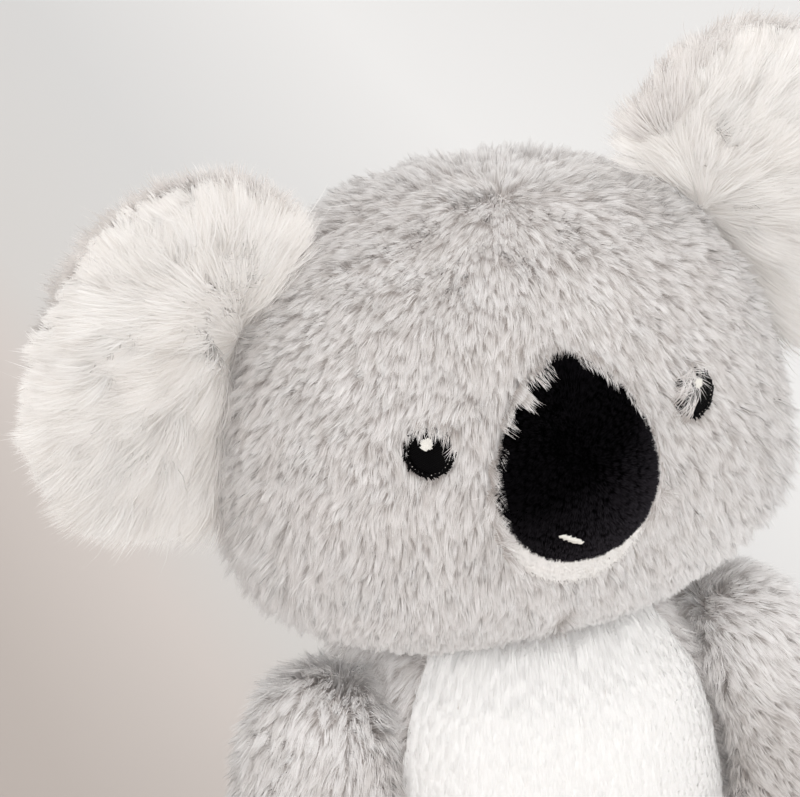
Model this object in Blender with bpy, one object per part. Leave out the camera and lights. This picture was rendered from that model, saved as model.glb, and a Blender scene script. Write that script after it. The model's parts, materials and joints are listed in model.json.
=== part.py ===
"""Seated plush koala: pile cloth panels sewn over loose stuffing.

Frame: metres, +Z up. The face looks along -Y and the toy's left side is +X. The
origin lies on the floor, under the middle of the whole toy.

Each cloth panel is a closed solid as thick as its backing and pile, so the outer
faces are the outline of the brushed toy. Two sewn edges lie a seam gap apart.
"""
import math

import bmesh
import bpy
import numpy as np

# Cloth and sewing
PILE = 0.0060
SHORT_PILE = 0.0028
SEAM_GAP = 0.0003
PANEL_GAP = 0.0005
STUFFING_GAP = 0.0009
PRESS_GAP = 0.0006
EMBROIDERY = 0.0010

# Torso
TORSO_HEIGHT = 0.125
TORSO_HALF_WIDTH = 0.052
TORSO_FRONT = 0.057
TORSO_BACK = 0.047
TORSO_POWER = 2.4
TORSO_HEIGHT_SHARES = (0.0, 0.05, 0.20, 0.50, 0.75, 0.90, 1.0)
TORSO_SWELL_SHARES = (0.76, 0.88, 1.0, 1.0, 0.95, 0.85, 0.67)
BELLY_SEAM_ANGLE = math.radians(56.0)
SEAT_CLOTH = 0.0050
PELLET_BAG_HEIGHT = 0.026

# Head
HEAD_HALF_WIDTH = 0.0705
HEAD_FRONT = 0.056
HEAD_BACK = 0.058
HEAD_TOP = 0.065
HEAD_BOTTOM = 0.0585
HEAD_POWER = 2.25
NECK_DROP = 0.0520
CHEEK_SWELL = 0.0045
CHEEK_DIRECTION_SHARES = (0.80, -0.30, -0.45)
CHEEK_SPREAD_SHARE = 0.55

# Seams of the head, as directions in shares of its half sizes
NOSE_SEAM_SHARES = (0.0, -0.995, 0.05)
GUSSET_FRONT_SHARES = (0.20, -0.93, 0.32)
GUSSET_CROWN_SHARES = (0.32, 0.05, 0.95)
GUSSET_BACK_SHARES = (0.34, 0.92, 0.10)
EAR_SEAM_SHARES = (1.0, 0.05, 0.0)
GUSSET_NAPE_ANGLE = math.radians(150.0)

# Face
EYE_SPACING = 0.0322
EYE_RISE = 0.0175
EYE_RADIUS = 0.0062
EYE_CROWN = 0.0002
EYE_HIGHLIGHT_RADIUS = 0.0016
EYE_HIGHLIGHT_RISE = 0.0022
MUZZLE_RISE = 0.0040
MUZZLE_HALF_WIDTH = 0.0212
MUZZLE_HALF_HEIGHT = 0.0275
MUZZLE_CROWN = 0.0045
NOSE_RISE = 0.0118
NOSE_HALF_WIDTH = 0.0198
NOSE_HALF_HEIGHT = 0.0252
NOSE_CROWN = 0.0085
NOSE_TAPER_SHARE = 0.20
CROWN_POWER = 2.6
NOSE_HIGHLIGHT_DROP = 0.0152
NOSE_HIGHLIGHT_SIDE = -0.0065
NOSE_HIGHLIGHT_HALF_WIDTH = 0.0030
NOSE_HIGHLIGHT_HALF_HEIGHT = 0.0010

# Ears
EAR_BASE_ANGLE = math.radians(27.0)
EAR_UNEVEN_ANGLE = math.radians(4.0)
EAR_BASE_BACK = 0.0010
EAR_REACH = 0.0515
EAR_UNEVEN_REACH = 0.0025
EAR_HALF_REACH = 0.0350
EAR_HALF_HEIGHT = 0.0445
EAR_FRONT_PILE = 0.0085
EAR_BACK_PILE = 0.0050
EAR_EDGE = 0.0016
EAR_TAPER = 0.0180
EAR_CURL = 0.0060
EAR_GAP = 0.0009

# Arms, measured from the middle of the torso
ARM_TOP_SIDE = 0.0490
ARM_TOP_BELOW_NECK = 0.0035
ARM_TOP_FRONT = 0.0110
ARM_BEND_SIDE = 0.0650
ARM_BEND_HEIGHT = 0.0900
ARM_BEND_FRONT = 0.0200
ARM_PAW_SIDE = 0.0655
ARM_PAW_HEIGHT = 0.0400
ARM_PAW_FRONT = 0.0320
ARM_TOP_RADIUS = 0.0205
ARM_PAW_RADIUS = 0.0255
ARM_END_POWER = 2.6

# Legs, measured from the middle of the torso
LEG_SIDE = 0.0285
LEG_ROOT_FRONT = 0.0100
LEG_LENGTH = 0.1000
LEG_SPLAY = math.radians(9.0)
THIGH_RADIUS = 0.0220
FOOT_RADIUS = 0.0255
FOOT_EDGE = 0.0050
FOOT_EDGE_LENGTH = 0.0130
FOOT_FULL_SHARE = 0.7
SOLE_CLOTH = 0.0035
FLOOR_FLAT = 0.0005
HIP_GAP = 0.0011
HIP_CREASE_GAP = 0.0010

# Facets
PATCH_STEPS = 10
REAR_STEPS = 8
UNDER_NOSE_STEPS = 3
SEAT_RINGS = 2
BAG_RINGS = 2
STUFFING_RINGS = 7
HEAD_RINGS = 12
HEAD_STEPS = 22
LIMB_RINGS = 11
LIMB_STEPS = 8
CAP_RINGS = 3
BUTTON_RINGS = 4
BUTTON_STEPS = 18
EAR_RINGS = 5
EAR_STEPS = 22
BISECTIONS = 30
WELD_SHARE = 0.01
CREASE_ANGLE = math.radians(40.0)

LEG_REACH = (
    LEG_ROOT_FRONT
    + (LEG_LENGTH + SEAM_GAP + SOLE_CLOTH) * math.cos(LEG_SPLAY)
    + (FOOT_RADIUS - FOOT_EDGE) * math.sin(LEG_SPLAY)
)
TORSO_Y = (LEG_REACH - HEAD_BACK) / 2
NECK = np.array((0.0, TORSO_Y, TORSO_HEIGHT))
HEAD_CENTRE = np.array((0.0, TORSO_Y, TORSO_HEIGHT + SEAM_GAP + NECK_DROP))


def cloth(name, colour, roughness):
    """Material of one cloth or thread."""
    made = bpy.data.materials.new(name)
    made.use_nodes = True
    shader = made.node_tree.nodes["Principled BSDF"]
    shader.inputs["Base Color"].default_value = (*colour, 1.0)
    shader.inputs["Roughness"].default_value = roughness
    shader.inputs["Metallic"].default_value = 0.0
    made.diffuse_color = (*colour, 1.0)
    return made


def joint(name, place):
    """Empty on a joint's axis, parent of what moves about it."""
    empty = bpy.data.objects.new(name, None)
    empty.empty_display_size = PILE
    empty.location = place
    bpy.context.scene.collection.objects.link(empty)
    return empty


def piece(name, faces, material, carrier=None):
    """Object from faces given as loops of world points."""
    place = np.array(carrier.location) if carrier else np.zeros(3)
    mesh = bpy.data.meshes.new(name)
    shape = bmesh.new()
    for loop in faces:
        shape.faces.new([shape.verts.new(point - place) for point in loop])
    bmesh.ops.remove_doubles(shape, verts=shape.verts, dist=SEAM_GAP * WELD_SHARE)
    bmesh.ops.dissolve_degenerate(shape, edges=shape.edges, dist=SEAM_GAP * WELD_SHARE)
    bmesh.ops.recalc_face_normals(shape, faces=shape.faces)
    shape.to_mesh(mesh)
    shape.free()
    mesh.materials.append(material)
    mesh.shade_smooth()
    mesh.set_sharp_from_angle(angle=CREASE_ANGLE)
    made = bpy.data.objects.new(name, mesh)
    made.parent = carrier
    bpy.context.scene.collection.objects.link(made)
    return made


def quads(grid, wrap=False):
    """Faces of a grid of points, joined round on itself if it wraps."""
    rows, steps = len(grid), len(grid[0])
    last = steps if wrap else steps - 1
    faces = []
    for i in range(rows - 1):
        for j in range(last):
            k = (j + 1) % steps
            faces.append((grid[i][j], grid[i][k], grid[i + 1][k], grid[i + 1][j]))
    return faces


def shell(outer, inner, wrap=False):
    """Closed solid between two grids of points, with walls round their edges."""
    faces = quads(outer, wrap) + quads(inner, wrap)
    faces += quads([outer[0], inner[0]], wrap)
    faces += quads([outer[-1], inner[-1]], wrap)
    if not wrap:
        faces += quads([outer[:, 0], inner[:, 0]])
        faces += quads([outer[:, -1], inner[:, -1]])
    return faces


def closed_rings(rings, start, end):
    """Closed solid of rings of points, with a point at each end."""
    steps = len(rings[0])
    grid = np.array([[start] * steps, *rings, [end] * steps])
    return quads(grid, wrap=True)


def smooth_share(at, places, shares):
    """Value at one place of a smooth curve through the shares."""
    places, shares = np.array(places), np.array(shares)
    slopes = np.gradient(shares, places)
    k = int(np.clip(np.searchsorted(places, at) - 1, 0, len(places) - 2))
    width = places[k + 1] - places[k]
    t = min(max((at - places[k]) / width, 0.0), 1.0)
    start = shares[k] * (1 + 2 * t) * (1 - t) ** 2 + slopes[k] * width * t * (1 - t) ** 2
    end = shares[k + 1] * t * t * (3 - 2 * t) - slopes[k + 1] * width * t * t * (1 - t)
    return start + end


# Torso


def torso_half_sizes(height, inset=0.0):
    """Half width, front depth and back depth of the torso at a height."""
    swell = smooth_share(height / TORSO_HEIGHT, TORSO_HEIGHT_SHARES, TORSO_SWELL_SHARES)
    sizes = (TORSO_HALF_WIDTH, TORSO_FRONT, TORSO_BACK)
    return [size * swell - inset for size in sizes]


def torso_point(angle, height, inset=0.0):
    """Point of the torso's side; the angle runs from the front to the left."""
    width, front, back = torso_half_sizes(height, inset)
    across, ahead = math.sin(angle), math.cos(angle)
    total = abs(across) ** TORSO_POWER + abs(ahead) ** TORSO_POWER
    reach = total ** (-1 / TORSO_POWER)
    depth = front if ahead > 0 else back
    return np.array((width * across * reach, TORSO_Y - depth * ahead * reach, height))


def torso_side(y, height, gap):
    """Half width of the torso, grown by a gap, at one depth and height."""
    width, front, back = torso_half_sizes(min(max(height, 0.0), TORSO_HEIGHT), -gap)
    depth = front if y < TORSO_Y else back
    share = min(abs(y - TORSO_Y) / depth, 1.0)
    return width * (1 - share**TORSO_POWER) ** (1 / TORSO_POWER)


def ring_heights(low, high, steps):
    """Heights of rings, closer together towards the top."""
    return [low + (high - low) * math.sin(math.pi / 2 * i / steps) for i in range(steps + 1)]


def torso_panel(name, start, end, steps, material, inset):
    """Side panel of the torso between two seam angles."""
    bag_top = SEAT_CLOTH + PELLET_BAG_HEIGHT
    heights = [
        *ring_heights(0.0, SEAT_CLOTH, SEAT_RINGS),
        *ring_heights(SEAT_CLOTH, bag_top, BAG_RINGS)[1:],
        *ring_heights(bag_top, TORSO_HEIGHT, STUFFING_RINGS)[1:],
    ]
    grids = []
    for depth in (0.0, inset):
        rows = []
        for height in heights:
            half_gap = SEAM_GAP / 2 / (torso_half_sizes(height, depth)[0])
            angles = np.linspace(start + half_gap, end - half_gap, steps + 1)
            rows.append([torso_point(angle, height, depth) for angle in angles])
        grids.append(np.array(rows))
    return piece(name, shell(*grids), material)


def torso_slice(name, low, high, inset, steps, material):
    """Closed slice of the torso between two heights, faceted as its panels are."""
    seam = BELLY_SEAM_ANGLE
    belly = np.linspace(-seam, seam, PATCH_STEPS + 1)
    back = np.linspace(seam, 2 * math.pi - seam, 2 * PATCH_STEPS + 1)
    rings = []
    for height in ring_heights(low, high, steps):
        angles = (*belly, *back[1:-1])
        rings.append([torso_point(angle, height, inset) for angle in angles])
    start = np.array((0.0, TORSO_Y, low))
    end = np.array((0.0, TORSO_Y, high))
    return piece(name, closed_rings(rings, start, end), material)


def make_torso(grey, white, stuffing, pellets):
    """Belly, two back panels, seat, pellet bag and stuffing."""
    seam = BELLY_SEAM_ANGLE
    torso_panel("belly_panel", -seam, seam, PATCH_STEPS, white, PILE)
    torso_panel("back_panel_left", seam, math.pi, PATCH_STEPS, grey, PILE)
    torso_panel("back_panel_right", math.pi, 2 * math.pi - seam, PATCH_STEPS, grey, PILE)
    torso_slice("seat_panel", 0.0, SEAT_CLOTH, PILE + SEAM_GAP, SEAT_RINGS, grey)
    floor = SEAT_CLOTH + SEAM_GAP
    inset = PILE + STUFFING_GAP
    bag_top = SEAT_CLOTH + PELLET_BAG_HEIGHT
    torso_slice("pellet_bag", floor, bag_top, inset, BAG_RINGS, pellets)
    base = bag_top + SEAM_GAP
    torso_slice("torso_stuffing", base, TORSO_HEIGHT, inset, STUFFING_RINGS, stuffing)


# Head


def unit(vector):
    """Vector of length one."""
    return np.asarray(vector, dtype=float) / np.linalg.norm(vector)


def head_scale(direction):
    """Half sizes of the head on the side that a direction points to."""
    depth = HEAD_FRONT if direction[1] < 0 else HEAD_BACK
    height = HEAD_BOTTOM if direction[2] < 0 else HEAD_TOP
    return np.array((HEAD_HALF_WIDTH, depth, height))


def head_point(shares, rise=0.0):
    """Point of the head's outside, from its centre, in a direction of shares."""
    way = unit(shares)
    reach = np.sum(np.abs(way) ** HEAD_POWER) ** (-1 / HEAD_POWER)
    point = head_scale(way) * way * reach
    mirrored = np.array((abs(way[0]), way[1], way[2]))
    cheek = np.sum((mirrored - unit(CHEEK_DIRECTION_SHARES)) ** 2) / CHEEK_SPREAD_SHARE**2
    rise += CHEEK_SWELL * math.exp(-cheek)
    point = point * (1 + rise / np.linalg.norm(point))
    return np.array((point[0], point[1], max(point[2], -NECK_DROP)))


def head_shares(point):
    """Direction in shares of a point given from the head's centre."""
    return np.asarray(point) / head_scale(point)


def arc(corners, steps):
    """Directions at even steps along the great arc between two corners."""
    start, end = unit(corners[0]), unit(corners[1])
    turn = math.acos(float(start @ end))
    places = np.linspace(0.0, 1.0, steps + 1)[:, None]
    return (np.sin((1 - places) * turn) * start + np.sin(places * turn) * end) / math.sin(turn)


def neck_direction(angle):
    """Direction of the neck seam; the angle runs from the front to the left."""
    drop = NECK_DROP / HEAD_BOTTOM
    ring = (1 - drop**HEAD_POWER) ** (1 / HEAD_POWER)
    return unit((ring * math.sin(angle), -ring * math.cos(angle), -drop))


def seam_line(*stretches):
    """Points along a seam of several arcs, each given as two corners and its steps."""
    lines = [arc((start, end), steps) for start, end, steps in stretches]
    return np.concatenate([lines[0], *(line[1:] for line in lines[1:])])


def neck_arc(start, end, steps):
    """Points along the neck seam between two angles."""
    return np.array([neck_direction(angle) for angle in np.linspace(start, end, steps + 1)])


def patch(bottom, top, left, right):
    """Directions of a panel that fills four seams."""
    across = np.linspace(0.0, 1.0, len(bottom))[None, :, None]
    up = np.linspace(0.0, 1.0, len(left))[:, None, None]
    grid = (1 - up) * bottom[None] + up * top[None]
    grid = grid + (1 - across) * left[:, None] + across * right[:, None]
    grid = grid - (1 - up) * ((1 - across) * bottom[0] + across * bottom[-1])
    return grid - up * ((1 - across) * top[0] + across * top[-1])


def seam_allowance(grid):
    """Draws the edges of a grid in, square to its seams, by half a panel gap."""
    drawn = grid.copy()
    for edge, inside in ((0, 1), (-1, -2)):
        for line, rows, inner in (
            (drawn[edge], grid[edge], grid[inside]),
            (drawn[:, edge], grid[:, edge], grid[:, inside]),
        ):
            along = np.gradient(rows, axis=0)
            along /= np.linalg.norm(along, axis=1)[:, None]
            step = inner - rows
            step -= np.sum(step * along, axis=1)[:, None] * along
            line += step * PANEL_GAP / 2 / np.linalg.norm(step, axis=1)[:, None]
    return drawn


def head_panel(name, directions, mirror, material, carrier):
    """Panel of the head with pile thickness; a mirrored one lies on the right."""
    flip = np.array((-1.0 if mirror else 1.0, 1.0, 1.0))
    grids = []
    for rise in (0.0, -PILE):
        rows = [[head_point(way, rise) for way in row] for row in directions]
        grids.append(seam_allowance(np.array(rows)) * flip + HEAD_CENTRE)
    return piece(name, shell(*grids), material, carrier)


def make_head(grey, stuffing, carrier):
    """Two cheeks, two back panels and a gusset from the nose to the nape."""
    front, crown = GUSSET_FRONT_SHARES, GUSSET_CROWN_SHARES
    back, nape = GUSSET_BACK_SHARES, neck_direction(GUSSET_NAPE_ANGLE)
    ear, side = EAR_SEAM_SHARES, neck_direction(math.pi / 2)
    chin, steps = neck_direction(0.0), PATCH_STEPS
    crown_steps = steps - UNDER_NOSE_STEPS
    opposite = np.array((-1.0, 1.0, 1.0))
    ear_seam = seam_line((side, ear, steps // 2), (ear, crown, steps // 2))
    brow_seam = arc((front, crown), steps)
    rear_seam = arc((crown, back), REAR_STEPS)
    nape_seam = arc((back, nape), steps)
    nose_seam = arc((NOSE_SEAM_SHARES, front), UNDER_NOSE_STEPS)
    chin_seam = np.concatenate([arc((chin, NOSE_SEAM_SHARES), crown_steps), nose_seam[1:]])
    cheek = patch(neck_arc(0.0, math.pi / 2, steps), brow_seam, chin_seam, ear_seam)
    rear = patch(
        neck_arc(math.pi / 2, GUSSET_NAPE_ANGLE, REAR_STEPS),
        rear_seam,
        ear_seam,
        nape_seam[::-1],
    )
    edge = np.concatenate([brow_seam, rear_seam[1:], nape_seam[1:]])
    gusset = patch(
        np.concatenate([nose_seam[::-1] * opposite, nose_seam[1:]]),
        neck_arc(2 * math.pi - GUSSET_NAPE_ANGLE, GUSSET_NAPE_ANGLE, 2 * UNDER_NOSE_STEPS),
        edge * opposite,
        edge,
    )
    for side, mirror in (("left", False), ("right", True)):
        head_panel("cheek_panel_" + side, cheek, mirror, grey, carrier)
        head_panel("head_back_panel_" + side, rear, mirror, grey, carrier)
    head_panel("forehead_gusset", gusset, False, grey, carrier)

    depth = -PILE - STUFFING_GAP
    rings = []
    for polar in np.linspace(0.0, math.pi, HEAD_RINGS + 2)[1:-1]:
        ring = []
        for turn in np.linspace(0.0, 2 * math.pi, HEAD_STEPS, endpoint=False):
            flat = math.sin(polar) * np.array((math.sin(turn), -math.cos(turn), 0.0))
            ring.append(head_point(flat + (0.0, 0.0, math.cos(polar)), depth) + HEAD_CENTRE)
        rings.append(ring)
    top = head_point((0.0, 0.0, 1.0), depth) + HEAD_CENTRE
    bottom = head_point((0.0, 0.0, -1.0)) + HEAD_CENTRE
    piece("head_stuffing", closed_rings(rings, top, bottom), stuffing, carrier)


# Face


def face_frame(side, up):
    """Place of a face piece on the head and the directions across and up it."""
    ahead = math.sqrt(1 - (side / HEAD_HALF_WIDTH) ** 2 - (up / HEAD_TOP) ** 2)
    middle = head_point((side / HEAD_HALF_WIDTH, -ahead, up / HEAD_TOP))
    outward = unit(middle / head_scale(middle) ** 2)
    across = unit(np.cross((0.0, 0.0, 1.0), outward))
    return middle, across, np.cross(outward, across)


def oval(share, angle, half_width, half_height, taper=0.0):
    """Offsets across and up for a point of an oval, narrower at its top."""
    across = share * half_width * math.cos(angle) * (1 - taper * math.sin(angle))
    return across, share * half_height * math.sin(angle)


def crown_rise(offsets, half_width, half_height, crown, taper=0.0):
    """Height of a padded oval above its base at one offset."""
    up = offsets[1] / half_height
    across = offsets[0] / (half_width * (1 - taper * min(max(up, -1.0), 1.0)))
    share = min(math.hypot(across, up), 1.0)
    return crown * (1 - share**CROWN_POWER)


def muzzle_rise(offsets):
    """Height of the muzzle above the head, at offsets from its own middle."""
    return crown_rise(offsets, MUZZLE_HALF_WIDTH, MUZZLE_HALF_HEIGHT, MUZZLE_CROWN)


def nose_rise(offsets):
    """Height of the nose above its base, at offsets from its own middle."""
    sizes = (NOSE_HALF_WIDTH, NOSE_HALF_HEIGHT, NOSE_CROWN, NOSE_TAPER_SHARE)
    return crown_rise(offsets, *sizes)


def offsets_from(point, frame):
    """Offsets across and up of a point from a face frame."""
    return (point - frame[0]) @ frame[1], (point - frame[0]) @ frame[2]


def padded_oval(name, frame, sizes, base, top, material, carrier, wall=0.0):
    """Oval on the head between a base height and a top height.

    With a wall the oval is hollow below, and its rim is as wide as the wall.
    """
    half_width, half_height, taper = sizes
    grids = []
    for rise, trim in ((top, 0.0), (base, wall)):
        rows = []
        for share in np.linspace(0.0, 1.0, BUTTON_RINGS + 1):
            row = []
            for angle in np.linspace(0.0, 2 * math.pi, BUTTON_STEPS, endpoint=False):
                size = (half_width - trim, half_height - trim)
                across, up = oval(share, angle, *size, taper)
                near = frame[0] + across * frame[1] + up * frame[2]
                ground = head_point(head_shares(near))
                height = rise(ground, share)
                row.append(ground * (1 + height / np.linalg.norm(ground)) + HEAD_CENTRE)
            rows.append(row)
        grids.append(np.array(rows))
    return piece(name, shell(*grids, wrap=True), material, carrier)


def make_face(black, thread, white, off_white, stuffing, carrier):
    """Muzzle, nose with its own stuffing, and embroidered eyes and highlights."""
    muzzle = face_frame(0.0, MUZZLE_RISE)
    nose = face_frame(0.0, NOSE_RISE)

    def on_head(point, share):
        return SEAM_GAP

    def on_muzzle(point, share):
        return 2 * SEAM_GAP + muzzle_rise(offsets_from(point, muzzle))

    def on_nose(point, share):
        return on_muzzle(point, share) + SEAM_GAP + nose_rise(offsets_from(point, nose))

    def muzzle_top(point, share):
        return SEAM_GAP + muzzle_rise(offsets_from(point, muzzle))

    def nose_top(point, share):
        return on_muzzle(point, share) + nose_rise(offsets_from(point, nose))

    def nose_lining(point, share):
        inner = nose_rise(offsets_from(point, nose)) - SHORT_PILE
        return on_muzzle(point, share) + max(inner, 0.0)

    def nose_fill(point, share):
        return nose_lining(point, share) - SEAM_GAP

    muzzle_sizes = (MUZZLE_HALF_WIDTH, MUZZLE_HALF_HEIGHT, 0.0)
    padded_oval("muzzle_panel", muzzle, muzzle_sizes, on_head, muzzle_top, off_white, carrier)
    nose_sizes = (NOSE_HALF_WIDTH, NOSE_HALF_HEIGHT, NOSE_TAPER_SHARE)
    faces = (nose_lining, nose_top)
    padded_oval("nose_cover", nose, nose_sizes, *faces, black, carrier, SHORT_PILE)
    trim = SHORT_PILE + 2 * SEAM_GAP
    fill_sizes = (NOSE_HALF_WIDTH - trim, NOSE_HALF_HEIGHT - trim, NOSE_TAPER_SHARE)
    padded_oval("nose_stuffing", nose, fill_sizes, on_muzzle, nose_fill, stuffing, carrier)
    glint = face_frame(NOSE_HIGHLIGHT_SIDE, NOSE_RISE - NOSE_HIGHLIGHT_DROP)
    glint_sizes = (NOSE_HIGHLIGHT_HALF_WIDTH, NOSE_HIGHLIGHT_HALF_HEIGHT, 0.0)

    def glint_top(point, share):
        return on_nose(point, share) + EMBROIDERY / 2

    padded_oval("nose_highlight", glint, glint_sizes, on_nose, glint_top, white, carrier)

    def eye_top(point, share):
        return SEAM_GAP + EMBROIDERY + EYE_CROWN * (1 - share**CROWN_POWER)

    def on_eye(point, share):
        return 2 * SEAM_GAP + EMBROIDERY + EYE_CROWN

    def eye_glint_top(point, share):
        return on_eye(point, share) + EMBROIDERY / 2

    for side, sign in (("left", 1.0), ("right", -1.0)):
        eye = face_frame(sign * EYE_SPACING, EYE_RISE)
        sizes = (EYE_RADIUS, EYE_RADIUS, 0.0)
        padded_oval("eye_" + side, eye, sizes, on_head, eye_top, thread, carrier)
        spot = face_frame(sign * EYE_SPACING, EYE_RISE + EYE_HIGHLIGHT_RISE)
        sizes = (EYE_HIGHLIGHT_RADIUS, EYE_HIGHLIGHT_RADIUS, 0.0)
        name = "eye_highlight_" + side
        padded_oval(name, spot, sizes, on_eye, eye_glint_top, white, carrier)


# Ears


def ear_base(sign):
    """Middle of an ear's seam on the left side, and the ways out of and up the seam.

    The left ear, of sign 1, is sewn a little higher than the right, of sign -1, and
    reaches a little further out.
    """
    angle = EAR_BASE_ANGLE + sign * EAR_UNEVEN_ANGLE
    side, up = math.cos(angle), math.sin(angle)
    back = EAR_BASE_BACK / HEAD_BACK
    middle = head_point((side, back, up), EAR_GAP)
    outward = unit((side / HEAD_HALF_WIDTH, 0.0, up / HEAD_TOP))
    return middle, outward, np.array((-outward[2], 0.0, outward[0]))


def outside_head(point, gap):
    """True where a point clears the head by a gap."""
    ground = head_point(head_shares(point))
    return np.linalg.norm(point) >= np.linalg.norm(ground) + gap


def ear_face(depth, sign):
    """Grid of one face of an ear, at a depth given by the place on it."""
    middle, outward, upward = ear_base(sign)
    reach = EAR_REACH + sign * EAR_UNEVEN_REACH
    centre = reach - EAR_HALF_REACH
    rows = [[] for _ in range(EAR_RINGS + 1)]
    for angle in np.linspace(0.0, 2 * math.pi, EAR_STEPS, endpoint=False):

        def at(share):
            out = centre + share * EAR_HALF_REACH * math.cos(angle)
            up = share * EAR_HALF_HEIGHT * math.sin(angle)
            back = depth(out, share) - EAR_CURL * (max(out, 0.0) / reach) ** 2
            return middle + out * outward + up * upward + np.array((0.0, back, 0.0))

        low, high = 0.0, 1.0
        if not outside_head(at(1.0), EAR_GAP):
            for _ in range(BISECTIONS):
                share = (low + high) / 2
                if outside_head(at(share), EAR_GAP):
                    low = share
                else:
                    high = share
            high = low
        for k, row in enumerate(rows):
            row.append(at(high * k / EAR_RINGS))
    return np.array(rows)


def make_ears(white_long, grey, carriers):
    """Front panel with long pile and back panel of each ear."""

    def pile_depth(pile):
        def depth(out, share):
            taper = min(max(out / EAR_TAPER, 0.0), 1.0)
            return EAR_EDGE + (pile - EAR_EDGE) * (1 - share**CROWN_POWER) * taper
        return depth

    front, back = pile_depth(EAR_FRONT_PILE), pile_depth(EAR_BACK_PILE)
    half = SEAM_GAP / 2
    faces = (
        ("front", white_long, lambda o, s: -front(o, s), lambda o, s: -half),
        ("back", grey, lambda o, s: back(o, s), lambda o, s: half),
    )
    for label, material, skin, lining in faces:
        for side, sign in (("left", 1.0), ("right", -1.0)):
            flip = np.array((sign, 1.0, 1.0))
            grids = [ear_face(face, sign) * flip + HEAD_CENTRE for face in (skin, lining)]
            name = "ear_" + side + "_" + label
            piece(name, shell(*grids, wrap=True), material, carriers[side])


# Arms


def arm_centre(share):
    """Point on the curved middle line of the left arm, and its direction."""
    top = (ARM_TOP_SIDE, -ARM_TOP_FRONT, TORSO_HEIGHT - ARM_TOP_BELOW_NECK)
    bend = (ARM_BEND_SIDE, -ARM_BEND_FRONT, ARM_BEND_HEIGHT)
    paw = (ARM_PAW_SIDE, -ARM_PAW_FRONT, ARM_PAW_HEIGHT)
    a, b, c = (np.array(place) + (0.0, TORSO_Y, 0.0) for place in (top, bend, paw))
    t = share
    place = a * (1 - t) ** 2 + 2 * b * t * (1 - t) + c * t * t
    way = unit((b - a) * (1 - t) + (c - b) * t)
    return place, way


def arm_radius(share):
    """Radius of the arm at a share of its length, zero at both ends."""
    full = ARM_TOP_RADIUS + (ARM_PAW_RADIUS - ARM_TOP_RADIUS) * share
    return full * (1 - abs(2 * share - 1) ** ARM_END_POWER) ** (1 / ARM_END_POWER)


def arm_grid(inset, start, end, steps, shift):
    """Grid of the left arm inside its outline, pressed against the torso."""
    length = TORSO_HEIGHT - ARM_TOP_BELOW_NECK - ARM_PAW_HEIGHT
    rows = []
    for i in range(LIMB_RINGS + 1):
        share = (1 - math.cos(math.pi * i / LIMB_RINGS)) / 2
        radius = arm_radius(share) * (1 - inset / ARM_PAW_RADIUS)
        along = inset / length + share * (1 - 2 * inset / length)
        middle, way = arm_centre(along)
        side = unit(np.array((1.0, 0.0, 0.0)) - way[0] * way)
        front = np.cross(way, side)
        row = []
        for angle in np.linspace(start, end, steps + 1):
            point = middle + radius * (math.cos(angle) * side + math.sin(angle) * front)
            point[0] += shift
            point[0] = max(point[0], torso_side(point[1], point[2], PRESS_GAP) + inset)
            row.append(point)
        rows.append(row)
    return np.array(rows)


def make_arms(grey, stuffing, carriers):
    """Outer and inner panel and stuffing of each arm."""
    half, quarter = SEAM_GAP / 2, math.pi / 2
    panels = (("outer", -quarter, quarter, half), ("inner", quarter, 3 * quarter, -half))
    for side, sign in (("left", 1.0), ("right", -1.0)):
        flip = np.array((sign, 1.0, 1.0))
        carrier = carriers[side]
        for label, start, end, shift in panels:
            outer = arm_grid(0.0, start, end, LIMB_STEPS, shift) * flip
            inner = arm_grid(PILE, start, end, LIMB_STEPS, shift) * flip
            name = "arm_" + side + "_" + label + "_panel"
            piece(name, shell(outer, inner), grey, carrier)
        steps = 2 * LIMB_STEPS
        core = arm_grid(PILE + STUFFING_GAP, 0.0, 2 * math.pi, steps, 0.0) * flip
        name = "arm_" + side + "_stuffing"
        piece(name, quads(core[:, :-1], wrap=True), stuffing, carrier)


# Legs


def leg_radius(share):
    """Radius of the leg at a share of its length, rounded in at the foot."""
    full = THIGH_RADIUS + (FOOT_RADIUS - THIGH_RADIUS) * min(share / FOOT_FULL_SHARE, 1.0)
    edge = max(1 - (1 - share) * LEG_LENGTH / FOOT_EDGE_LENGTH, 0.0)
    return full - FOOT_EDGE * edge**CROWN_POWER


def leg_point(along, angle, inset, fill):
    """Point of the left leg, at a share of its radius less an inset."""
    way = np.array((math.sin(LEG_SPLAY), -math.cos(LEG_SPLAY), 0.0))
    side = np.array((math.cos(LEG_SPLAY), math.sin(LEG_SPLAY), 0.0))
    radius = leg_radius(along)
    middle = np.array((LEG_SIDE, TORSO_Y - LEG_ROOT_FRONT, radius - FLOOR_FLAT))
    around = math.cos(angle) * side + np.array((0.0, 0.0, math.sin(angle)))
    point = middle + along * LEG_LENGTH * way + fill * (radius - inset) * around
    return np.array((point[0], point[1], max(point[2], 0.0)))


def leg_start(angle, inset, fill):
    """Share of the leg's length at which it comes out of the torso."""
    low, high = 0.0, 1.0
    for _ in range(BISECTIONS):
        middle = (low + high) / 2
        point = leg_point(middle, angle, inset, fill)
        ahead = point[1] < TORSO_Y and torso_side(point[1], point[2], HIP_GAP) > point[0]
        if ahead:
            low = middle
        else:
            high = middle
    return high


def leg_grid(inset, start, end, steps):
    """Grid of the left leg from the torso to the foot's edge."""
    angles = np.linspace(start, end, steps + 1)
    starts = [leg_start(angle, inset, 1.0) for angle in angles]
    rows = []
    for i in range(LIMB_RINGS + 1):
        share = math.sin(math.pi / 2 * i / LIMB_RINGS)
        row = []
        for angle, first in zip(angles, starts):
            row.append(leg_point(first + (1 - first) * share, angle, inset, 1.0))
        rows.append(row)
    return np.array(rows)


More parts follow.
